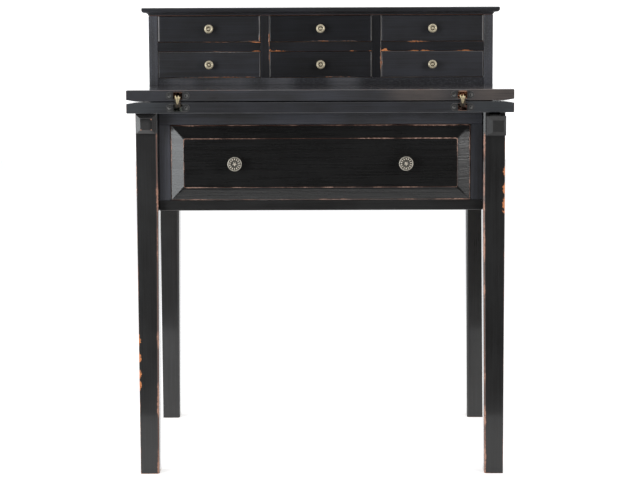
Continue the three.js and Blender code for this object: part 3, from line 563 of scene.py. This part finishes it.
for place, (tone, weights, chips) in small_fronts.items():
    paint_box("small_drawer_front_" + place, "x", tone, {**eased, **dict(zip(SIDES, weights))}, wear=0.0001,
              chips=marks(HUTCH_Y, *chips), **highlight_line)
print("painted boards and frames:", sum(m.name.startswith("black paint") for m in bpy.data.materials))

# %% [markdown]
# ## Legs
# Below the case the two inner faces of a leg taper, so its box says nothing about where the inner edges are.
# The size of the leg at a given height is a straight line, and the distances follow from that. The inner front
# edge has a wide chamfer, rubbed thin from the foot up to the support's block: it is the line that the eye
# catches first. The outer front edges are chipped in one place each.

# %% Painted legs
LEG_SIZE, FOOT_SIZE, CHAMFER = 0.045, 0.0395, 0.004
CHAMFER_RUB, CHAMFER_RIM_RUB = 0.6, 0.45
LEG_WOOD, LEG_LINE = (0.52, 0.28, 0.20, 1), (0.25, 0.125, 0.09, 1)
CASE_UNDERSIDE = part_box("case_back")[0].z
CASE_TOP, LEG_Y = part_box("leg_front_left")[1].z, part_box("leg_front_left")[0].y
LINE_STOPS = (0.715, 0.735)
CHIP_RADIUS, CHIP_STRENGTH = 0.014, 1.6


def leg_edges(side, front_leg):
    low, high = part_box("leg_front_" + side if front_leg else "leg_rear_" + side)
    outer_x = low.x if side == "left" else high.x
    outer_y = low.y if front_leg else high.y

    def edge(tree, xyz):
        up = calc(tree, "DIVIDE", xyz[2], CASE_UNDERSIDE, clamp=True)
        size = calc(tree, "MULTIPLY_ADD", up, LEG_SIZE - FOOT_SIZE, FOOT_SIZE)
        out_x = calc(tree, "ABSOLUTE", calc(tree, "SUBTRACT", xyz[0], outer_x))
        out_y = calc(tree, "ABSOLUTE", calc(tree, "SUBTRACT", xyz[1], outer_y))
        near_x = calc(tree, "MINIMUM", out_x, calc(tree, "SUBTRACT", size, out_x))
        near_y = calc(tree, "MINIMUM", out_y, calc(tree, "SUBTRACT", size, out_y))
        nearest = second_smallest(tree, near_x, near_y, within(tree, xyz[2], 0.0, CASE_TOP))
        nearest = calc(tree, "SUBTRACT", nearest, EASED)
        if not front_leg:
            return nearest
        inner_corner = calc(tree, "ADD", calc(tree, "SUBTRACT", size, out_x), out_y)
        off_chamfer = calc(tree, "ABSOLUTE", calc(tree, "SUBTRACT", inner_corner, CHAMFER))
        across = calc(tree, "ABSOLUTE", calc(tree, "SUBTRACT", out_y, CHAMFER / 2))
        across = calc(tree, "MULTIPLY", calc(tree, "MINIMUM", across, CHAMFER / 2), CHAMFER_RIM_RUB)
        on_chamfer = calc(tree, "MULTIPLY_ADD", off_chamfer, CHAMFER_RUB, across)
        by_block = calc(tree, "MULTIPLY", fade(tree, xyz[2], *LINE_STOPS), CHAMFER / 2)
        return calc(tree, "MINIMUM", nearest, calc(tree, "ADD", on_chamfer, by_block))

    return edge


worn_leg = {"line": LEG_LINE, "line_width": 0.0007, "wear": 0.0004, "wood": LEG_WOOD, "tints": NEUTRAL}
chipped_legs = {
    "left": (0.026, -0.382, (0.19, 0.215, 0.25, 0.287)), "right": (0.020, 0.382, (0.562, 0.575, 0.605, 0.64))}
for side, (tone, x, heights) in chipped_legs.items():
    chips = marks(LEG_Y, *[(x, z, CHIP_RADIUS, CHIP_STRENGTH) for z in heights])
    front, rear = "leg_front_" + side, "leg_rear_" + side
    dress(front, black_paint(front, leg_edges(side, True), "z", tone, chips=chips, **worn_leg))
    dress(rear, black_paint(rear, leg_edges(side, False), "z", tone + 0.003, tints=NEUTRAL))
print("legs taper from", LEG_SIZE, "to", FOOT_SIZE, "below", round(CASE_UNDERSIDE, 3))

# %% [markdown]
# ## The large drawer front
# Its middle field stands proud between four wide bevels. Two lines are rubbed here: the outer edge, and the edge
# of the field, which is a rectangle with small round corners. The distance to such a rectangle is the distance to
# a smaller one with sharp corners, less the radius. The brush left deep streaks on the bevels, and where they
# catch the soft box they break its reflection up.

# %% Painted large drawer front
FIELD_INSET, FIELD_CORNER, OUTER_RUB = 0.027, 0.004, 0.5
drawer_low, drawer_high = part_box("large_drawer_front")


def round_rectangle(tree, x, z, half_x, half_z, radius):
    """Signed distance to a rectangle with round corners, about its middle."""
    over_x, over_z = beyond(tree, x, half_x - radius), beyond(tree, z, half_z - radius)
    round_corner = diagonal(tree, calc(tree, "MAXIMUM", over_x, 0.0), calc(tree, "MAXIMUM", over_z, 0.0))
    inside = calc(tree, "MINIMUM", calc(tree, "MAXIMUM", over_x, over_z), 0.0)
    return calc(tree, "SUBTRACT", calc(tree, "ADD", round_corner, inside), radius)


def drawer_front_edge(tree, xyz):
    middle, half = (drawer_low + drawer_high) / 2, (drawer_high - drawer_low) / 2
    x, z = calc(tree, "SUBTRACT", xyz[0], middle.x), calc(tree, "SUBTRACT", xyz[2], middle.z)
    field = round_rectangle(tree, x, z, half.x - FIELD_INSET, half.z - FIELD_INSET, FIELD_CORNER)
    outer = calc(tree, "MINIMUM", within(tree, x, -half.x, half.x), within(tree, z, -half.z, half.z))
    return calc(tree, "MINIMUM", calc(tree, "ABSOLUTE", field), calc(tree, "MULTIPLY", outer, OUTER_RUB))


# The front's very dark tone is partly the paint's own black and partly painted shade from the boards' overhang.
dress("large_drawer_front", black_paint(
    "large_drawer_front", drawer_front_edge, "x", 0.0115, wear=0.0004, sheen=0.2, streaks=0.0002, brush=0.1,
    tints=NEUTRAL))
print("field of", round(drawer_high.x - drawer_low.x - 2 * FIELD_INSET, 3), "m between the bevels")

# %% [markdown]
# ## Bare wood
# What nobody sees was never painted: the drawer boxes, the runners and the back of the hutch are plain pale wood.
# Growth rings cut lengthwise look like long wavy bands, so a wave texture is stretched along the board and
# disturbed by noise; fine pores and a few darker stains lie over it.

# %% Bare wood
PALE_WOOD, RING_WOOD, STAIN = (0.52, 0.36, 0.21, 1), (0.36, 0.22, 0.115, 1), (0.25, 0.15, 0.08, 1)


def bare_wood(name, grain):
    material, tree, shader = new_material("bare wood, " + name)
    point, _ = object_point(tree)
    scale = [1.2 if axis == grain else 22.0 for axis in "xyz"]
    long_way = put(tree, "ShaderNodeMapping", {"Vector": point, "Location": own_shift(name), "Scale": scale})
    rings = put(tree, "ShaderNodeTexWave", {
        "Vector": long_way.outputs[0], "Scale": 0.8, "Distortion": 5.0, "Detail": 3.0, "Detail Scale": 1.2},
        wave_type="BANDS", bands_direction="DIAGONAL").outputs["Fac"]
    pores = grain_noise(tree, point, name, grain, 14.0, 900.0)
    stains = fade(tree, plain_noise(tree, point, name, 4.0), 0.5, 0.75)
    colour = blend_colours(tree, fade(tree, rings, 0.25, 0.95), PALE_WOOD, RING_WOOD)
    colour = blend_colours(tree, calc(tree, "MULTIPLY", fade(tree, pores, 0.52, 0.7), 0.45), colour, STAIN)
    colour = blend_colours(tree, calc(tree, "MULTIPLY", stains, 0.3), colour, STAIN)
    tree.links.new(colour, shader.inputs["Base Color"])
    tree.links.new(calc(tree, "MULTIPLY_ADD", pores, 0.25, 0.55), shader.inputs["Roughness"])
    height = calc(tree, "MULTIPLY_ADD", rings, 0.3, pores)
    bump = put(tree, "ShaderNodeBump", {"Height": height, "Strength": 0.4, "Distance": 0.0002})
    tree.links.new(bump.outputs[0], shader.inputs["Normal"])
    shader.inputs["Specular IOR Level"].default_value = 0.3
    return material


for name in sorted(nodes):
    if name.startswith(("support_guide", "drawer_runner", "large_drawer_side")):
        dress(name, bare_wood(name, "y"))
    if name.startswith(("small_drawer_box", "large_drawer_back", "large_drawer_bottom", "hutch_back")):
        dress(name, bare_wood(name, "x"))
print("bare pieces:", sum(m.name.startswith("bare wood") for m in bpy.data.materials))

# %% [markdown]
# ## Metals
# One recipe makes all the metals. The knobs are cast and have aged to a pewter brown, duller behind their rubbed
# tops, with grime in their hollows; the links are yellow brass, painted bright where they stand out between the
# boards and dark with painted shade where they sink into the pockets. Grime gathers where nothing can wipe, which
# is what ambient occlusion measures.

# %% Metals
DULL_DEPTHS = (0.0010, 0.0024)
# Where the links are painted bright as if lit: the wedge's foot, slope, half width and soft edges.
LINK_X, LIT_FOOT, LIT_SLOPE, LIT_HALF, LIT_SOFT = 0.292, 0.7815, 0.32, 0.0010, (0.0008, 0.0020)
LARGE_RADIUS, LARGE_HEIGHT = 0.0150, 0.025
PETAL_TOP = 0.885 * LARGE_HEIGHT


def worn_metal(name, bright, grime_and_shade, roughness, reach, grime_range=(0.35, 0.85), metallic=0.6, dull=None, top_y=0.0,
               rubbed=None):
    """Cast or stamped metal, bright where it is clean. reach is how far grime gathers from a corner, dull is the
    colour behind a rubbed top at top_y, and rubbed(tree, xyz) says where the metal is painted bright as if lit;
    elsewhere it takes the grime colour, which there is painted shade."""
    material, tree, shader = new_material(name)
    point, xyz = object_point(tree)
    open_air = put(tree, "ShaderNodeAmbientOcclusion", {"Distance": reach}, samples=8).outputs["AO"]
    mottle = plain_noise(tree, point, name, 320.0, 5.0, 0.65)
    fine_lines = put(tree, "ShaderNodeMapping", {"Vector": point, "Scale": (2600, 300, 900)}).outputs[0]
    scratches = put(tree, "ShaderNodeTexNoise", {"Vector": fine_lines, "Scale": 1.0, "Detail": 3.0}).outputs["Fac"]
    open_part = calc(tree, "MULTIPLY_ADD", mottle, 0.35, calc(tree, "SUBTRACT", open_air, 0.17))
    clean_and_lit = fade(tree, open_part, *grime_range)
    # For the links, rubbed is the wedge of painted light; outside it they take the grime colour as painted shade.
    if rubbed:
        clean_and_lit = calc(tree, "MULTIPLY", clean_and_lit, rubbed(tree, xyz))
    if dull:
        behind = fade(tree, calc(tree, "SUBTRACT", xyz[1], top_y), *DULL_DEPTHS)
        bright = blend_colours(tree, behind, bright, dull)
    tree.links.new(blend_colours(tree, clean_and_lit, grime_and_shade, bright), shader.inputs["Base Color"])
    worn = calc(tree, "MULTIPLY_ADD", scratches, 0.16, roughness - 0.08)
    grimy_and_shaded = calc(tree, "SUBTRACT", 1.0, clean_and_lit)
    tree.links.new(calc(tree, "MULTIPLY_ADD", grimy_and_shaded, 0.3, worn), shader.inputs["Roughness"])
    tree.links.new(calc(tree, "MULTIPLY_ADD", clean_and_lit, metallic - 0.2, 0.2), shader.inputs["Metallic"])
    bump = put(tree, "ShaderNodeBump", {"Height": mottle, "Strength": 0.35, "Distance": 0.00012})
    tree.links.new(bump.outputs[0], shader.inputs["Normal"])
    return material


def lit_wedge(tree, xyz):
    """Painted light and shade on the links: bright in a wedge that narrows downwards where they stand out between
    the boards, and dark with painted shade where they sink into the pockets.
    """
    up = calc(tree, "SUBTRACT", xyz[2], LIT_FOOT)
    off = calc(tree, "ABSOLUTE", beyond(tree, xyz[0], LINK_X))
    inside = calc(tree, "SUBTRACT", calc(tree, "MULTIPLY_ADD", up, LIT_SLOPE, LIT_HALF), off)
    return calc(tree, "MULTIPLY", fade(tree, inside, 0.0, LIT_SOFT[0]), fade(tree, up, 0.0, LIT_SOFT[1]))


knob_metal = worn_metal("aged brass", (0.80, 0.73, 0.62, 1), (0.03, 0.024, 0.018, 1), 0.4, 0.0024,
                        grime_range=(0.4, 0.8), metallic=0.35, dull=(0.155, 0.147, 0.125, 1),
                        top_y=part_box("large_knob_left")[1].y - PETAL_TOP)
button_metal = worn_metal("pale brass", (0.65, 0.57, 0.41, 1), (0.07, 0.045, 0.02, 1), 0.4, 0.003,
                          grime_range=(0.5, 0.9), metallic=0.4)
# The links' grime colours also serve as painted shade where they sink into the pockets.
upper_metal = worn_metal("yellow brass", (0.85, 0.72, 0.46, 1), (0.05, 0.034, 0.02, 1), 0.4, 0.004,
                         grime_range=(0.1, 0.6), rubbed=lit_wedge)
lower_metal = worn_metal("tarnished brass", (0.75, 0.62, 0.38, 1), (0.035, 0.027, 0.02, 1), 0.4, 0.004,
                         grime_range=(0.1, 0.6), rubbed=lit_wedge)
for side in ("left", "right"):
    dress("hinge_links_lower_" + side, lower_metal)
    dress("hinge_links_upper_" + side, upper_metal)
print("metals:", ", ".join(metal.name for metal in (knob_metal, button_metal, upper_metal, lower_metal)))

# %% [markdown]
# ## Hinge cases
# The brush went over the hinge plates together with the boards, so their face is as black as the wood and only
# its rim, the ends of the pocket and a ring round each screw are rubbed. Inside the pocket there is no paint but
# blotched metal: brown or orange with rust above, grey or speckled below. The depth behind the face tells the
# two apart.

# %% Painted hinge cases
PLATE_DEPTH, PLATE_RIM_WIDTHS, POCKET_HALF = 0.002, (0.0009, 0.0003), 0.0072
SCREW_RADIUS, SCREW_SPREAD, SCREW_RING = 0.0033, 0.0175, 0.0006
PLATE_BLACKS = (0.026, 0.026, 0.027, 1), (0.042, 0.041, 0.04, 1)
PLATE_RIM, RING_GREY = (0.20, 0.19, 0.18, 1), (0.19, 0.186, 0.178, 1)
# Each case: the rubbed ends of its pocket, then the dark and the light blotches inside
POCKETS = {
    ("lower", "left"): ((0.05, 0.05, 0.046, 1), (0.03, 0.03, 0.027, 1), (0.42, 0.45, 0.40, 1)),
    ("upper", "left"): ((0.13, 0.07, 0.055, 1), (0.035, 0.014, 0.006, 1), (0.34, 0.19, 0.13, 1)),
    ("lower", "right"): ((0.16, 0.10, 0.08, 1), (0.05, 0.022, 0.014, 1), (0.70, 0.45, 0.37, 1)),
    ("upper", "right"): ((0.62, 0.36, 0.24, 1), (0.16, 0.06, 0.03, 1), (0.95, 0.52, 0.30, 1))}


def hinge_case_finish(name, pocket_ends, *blotches):
    low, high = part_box(name)
    material, tree, shader = new_material("painted brass, " + name)
    point, xyz = object_point(tree)
    mottle = plain_noise(tree, point, name, 260.0, 5.0, 0.65)
    behind = calc(tree, "SUBTRACT", xyz[1], low.y)
    half_height = (high.z - low.z) / 2
    half_middle = (high.x - low.x) / 2 - half_height
    x = calc(tree, "SUBTRACT", xyz[0], (low.x + high.x) / 2)
    z = calc(tree, "SUBTRACT", xyz[2], (low.z + high.z) / 2)
    along = calc(tree, "MAXIMUM", beyond(tree, x, half_middle), 0.0)
    rim = calc(tree, "SUBTRACT", half_height, diagonal(tree, along, z))
    rubbed = calc(tree, "MULTIPLY", fade(tree, rim, *PLATE_RIM_WIDTHS), fade(tree, mottle, 0.35, 0.6))
    inside = fade(tree, behind, PLATE_DEPTH * 0.4, PLATE_DEPTH)
    face = blend_colours(tree, mottle, *PLATE_BLACKS)
    face = blend_colours(tree, calc(tree, "MULTIPLY", rubbed, 0.8), face, PLATE_RIM)
    ragged = calc(tree, "MULTIPLY_ADD", mottle, 0.012, -0.0038)
    face = blend_colours(tree, fade(tree, beyond(tree, x, POCKET_HALF), ragged, 0.0), face, pocket_ends)
    off_head = calc(tree, "SUBTRACT", diagonal(tree, beyond(tree, x, SCREW_SPREAD), z), SCREW_RADIUS)
    face = blend_colours(tree, fade(tree, off_head, SCREW_RING, SCREW_RING / 2), face, RING_GREY)
    blotch = fade(tree, plain_noise(tree, point, name, 190.0, 2.0), 0.46, 0.6)
    hollow = blend_colours(tree, blotch, *blotches)
    tree.links.new(blend_colours(tree, inside, face, hollow), shader.inputs["Base Color"])
    tree.links.new(calc(tree, "MULTIPLY_ADD", mottle, 0.2, 0.25), shader.inputs["Roughness"])
    tree.links.new(calc(tree, "MULTIPLY", inside, 0.5), shader.inputs["Metallic"])
    bump = put(tree, "ShaderNodeBump", {"Height": mottle, "Strength": 0.4, "Distance": 0.0002})
    tree.links.new(bump.outputs[0], shader.inputs["Normal"])
    return material


for (level, side), colours in POCKETS.items():
    name = f"hinge_case_{level}_{side}"
    dress(name, hinge_case_finish(name, *colours))
print("hinge cases painted:", sum(m.name.startswith("painted brass") for m in bpy.data.materials))

# %% [markdown]
# ## Turning a shape
# Knobs and screws are round, so both start like a piece on a lathe: a profile of radius and height is spun once
# about its axis. The two ends of the profile lie on the axis, and merging doubles closes them to single points.
# The shape is made standing up, then laid forward so that it looks along -Y, and moved to its place in the mesh.

# %% Lathe and finishing helpers
LAY_FORWARD = Matrix.Rotation(math.radians(90), 4, "X")
PETAL_TAPER = 0.45


def turn_profile(shape, profile, steps):
    """Spins a chain of (radius, height) points once round the z axis."""
    chain = [shape.verts.new((radius, 0, height)) for radius, height in profile]
    edges = [shape.edges.new(pair) for pair in zip(chain, chain[1:])]
    bmesh.ops.spin(shape, geom=chain + edges, cent=(0, 0, 0), axis=(0, 0, 1), angle=2 * math.pi,
                   steps=steps, use_merge=True, use_duplicate=False)
    bmesh.ops.remove_doubles(shape, verts=shape.verts, dist=1e-7)


def add_petal(shape, size, out, lift, angle):
    """A small pillow: a ball flattened to a size, narrowed inwards, set out from the axis and turned round it."""
    ball = bmesh.ops.create_uvsphere(shape, u_segments=14, v_segments=10, radius=1.0)["verts"]
    bmesh.ops.scale(shape, vec=size, verts=ball)
    for vert in ball:
        if vert.co.x < 0:
            vert.co.y *= 1 + PETAL_TAPER * vert.co.x / size[0]
    bmesh.ops.translate(shape, vec=(out, 0, lift), verts=ball)
    bmesh.ops.rotate(shape, cent=(0, 0, 0), matrix=Matrix.Rotation(angle, 3, "Z"), verts=ball)


def finish_piece(shape, name, place, material, body, smooth_angle=38):
    """Lays a standing shape forward, moves it to its place and hangs it on its body."""
    bmesh.ops.recalc_face_normals(shape, faces=shape.faces)
    mesh = bpy.data.meshes.new(name)
    shape.to_mesh(mesh)
    shape.free()
    mesh.transform(Matrix.Translation(place) @ LAY_FORWARD)
    mesh.polygons.foreach_set("use_smooth", [True] * len(mesh.polygons))
    mesh.set_sharp_from_angle(angle=math.radians(smooth_angle))
    mesh.materials.append(material)
    piece = bpy.data.objects.new(name, mesh)
    bpy.context.scene.collection.objects.link(piece)
    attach(piece, body)
    return piece


# %% [markdown]
# ## Large knobs
# The drawer's two knobs are cast rosettes: a plain rolled rim, a ring of fourteen petals, and in the hollow middle
# a flower of five around a small boss. The foot, the neck and the flared head are turned; the petals are set on it
# as the caster's punches would leave them, with gaps between them where the grime can sit.

# %% Large knobs
LARGE_PROFILE = [
    (0, 0), (0.42, 0), (0.42, 0.07), (0.36, 0.1), (0.29, 0.17), (0.27, 0.28), (0.29, 0.4), (0.4, 0.52),
    (0.66, 0.62), (0.9, 0.68), (0.985, 0.72), (1.0, 0.755), (0.985, 0.79), (0.94, 0.82), (0.9, 0.825),
    (0.86, 0.81), (0.84, 0.77), (0.8, 0.74), (0.5, 0.74), (0.46, 0.725), (0.3, 0.725), (0.15, 0.74), (0, 0.74)]
RING_PETALS, RING_PETAL_SIZE = 14, (0.0026, 0.00135, 0.0030)
RING_OUT, RING_LIFT = 0.655 * LARGE_RADIUS, 0.765 * LARGE_HEIGHT
FLOWER_PETALS, FLOWER_PETAL_SIZE = 5, (0.0023, 0.0014, 0.0034)
FLOWER_LIFT, FLOWER_TURN = 0.75 * LARGE_HEIGHT, math.radians(54)
BOSS_RADIUS, BOSS_LIFT = 0.0013, 0.84 * LARGE_HEIGHT


def large_knob(side):
    low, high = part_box("large_knob_" + side)
    shape = bmesh.new()
    turn_profile(shape, [(r * LARGE_RADIUS, h * LARGE_HEIGHT) for r, h in LARGE_PROFILE], 72)
    for count in range(RING_PETALS):
        angle = 2 * math.pi * (count + 0.5) / RING_PETALS
        add_petal(shape, RING_PETAL_SIZE, RING_OUT, RING_LIFT, angle)
    for count in range(FLOWER_PETALS):
        angle = 2 * math.pi * count / FLOWER_PETALS + FLOWER_TURN
        add_petal(shape, FLOWER_PETAL_SIZE, FLOWER_PETAL_SIZE[0], FLOWER_LIFT, angle)
    boss = bmesh.ops.create_uvsphere(shape, u_segments=16, v_segments=10, radius=BOSS_RADIUS)["verts"]
    bmesh.ops.translate(shape, vec=(0, 0, BOSS_LIFT), verts=boss)
    place = ((low.x + high.x) / 2, high.y, (low.z + high.z) / 2)
    knob = finish_piece(shape, "rosette_knob_" + side, place, knob_metal, "large_drawer")
    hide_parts("large_knob_" + side)
    return knob


for side in ("left", "right"):
    knob = large_knob(side)
    print(knob.name, len(knob.data.polygons), "faces")

# %% [markdown]
# ## Small knobs
# The hutch drawers have a plainer knob: a thick smooth ring, a dark groove, and a button in the middle. The groove
# and the underside of the ring hold the grime.

# %% Small knobs
SMALL_RADIUS, SMALL_HEIGHT = 0.0095, 0.016
SMALL_PROFILE = [
    (0, 0), (0.45, 0), (0.45, 0.1), (0.36, 0.18), (0.33, 0.4), (0.45, 0.55), (0.75, 0.6), (0.93, 0.64), (1.0, 0.69),
    (0.99, 0.75), (0.94, 0.82), (0.85, 0.885), (0.74, 0.91), (0.62, 0.905), (0.53, 0.87), (0.48, 0.81), (0.45, 0.75),
    (0.37, 0.75), (0.33, 0.80), (0.27, 0.86), (0.18, 0.89), (0.08, 0.9), (0, 0.9)]


def small_knob(name):
    low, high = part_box("small_knob_" + name)
    shape = bmesh.new()
    turn_profile(shape, [(r * SMALL_RADIUS, h * SMALL_HEIGHT) for r, h in SMALL_PROFILE], 48)
    place = ((low.x + high.x) / 2, high.y, (low.z + high.z) / 2)
    knob = finish_piece(shape, "ring_knob_" + name, place, button_metal, "small_drawer_" + name)
    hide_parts("small_knob_" + name)
    return knob


for row in ("top", "bottom"):
    for place in ("left", "middle", "right"):
        knob = small_knob(f"{row}_{place}")
print("last small knob has", len(knob.data.polygons), "faces")

# %% [markdown]
# ## Hinge screws
# Each hinge case is held by two slotted screws with flat, slightly domed heads. A slot can be cut with a boolean,
# but slicing is tidier: the dome is turned twice, each copy is cut off on one side of the slot by a plane, and
# both halves stand on a thin disc that closes the slot's floor.

# %% Hinge screws
SCREW_SLOT, SCREW_DEEP, SCREW_STEPS = 0.0009, 0.0004, 28
SCREW_PROUD = 0.0004  # the two edges come within 1 mm of each other when the leaf is open
SCREW_DOME = [(0, 0), (1, 0), (0.97, 1 / 3), (0.6, 0.8), (0, 1)]
SLOT_TURNS = {"lower": (-22, 52), "upper": (25, 99)}
screw_metal = worn_metal("painted screw", (0.03, 0.029, 0.028, 1), (0.008, 0.007, 0.006, 1), 0.35, 0.0014)


def screw(name, place, angle, body):
    shape = bmesh.new()
    turn_profile(shape, [(0, -SCREW_DEEP), (SCREW_RADIUS, -SCREW_DEEP), (SCREW_RADIUS, 0.0), (0, 0.0)], SCREW_STEPS)
    for way in (-1, 1):
        before = set(shape.verts)
        turn_profile(shape, [(r * SCREW_RADIUS, h * SCREW_PROUD) for r, h in SCREW_DOME], SCREW_STEPS)
        parts = [vert for vert in shape.verts if vert not in before]
        parts += [part for part in (*shape.edges, *shape.faces) if not before.issuperset(part.verts)]
        cut = bmesh.ops.bisect_plane(shape, geom=parts, plane_co=(0, way * SCREW_SLOT / 2, 0), plane_no=(0, -way, 0),
                                     clear_outer=True)
        rim = [item for item in cut["geom_cut"] if isinstance(item, bmesh.types.BMEdge)]
        bmesh.ops.holes_fill(shape, edges=rim)
    bmesh.ops.rotate(shape, cent=(0, 0, 0), matrix=Matrix.Rotation(angle, 3, "Z"), verts=shape.verts)
    return finish_piece(shape, name, place, screw_metal, body, 25)


for side in ("left", "right"):
    for level, body in (("lower", "base"), ("upper", "leaf")):
        low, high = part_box(f"hinge_case_{level}_{side}")
        for way, word, degrees in zip((-1, 1), "ab", SLOT_TURNS[level]):
            place = ((low.x + high.x) / 2 + way * SCREW_SPREAD, low.y, (low.z + high.z) / 2)
            piece = screw(f"hinge_screw_{level}_{side}_{word}", place, math.radians(degrees), body)
print("screw heads", 2000 * SCREW_RADIUS, "mm wide")
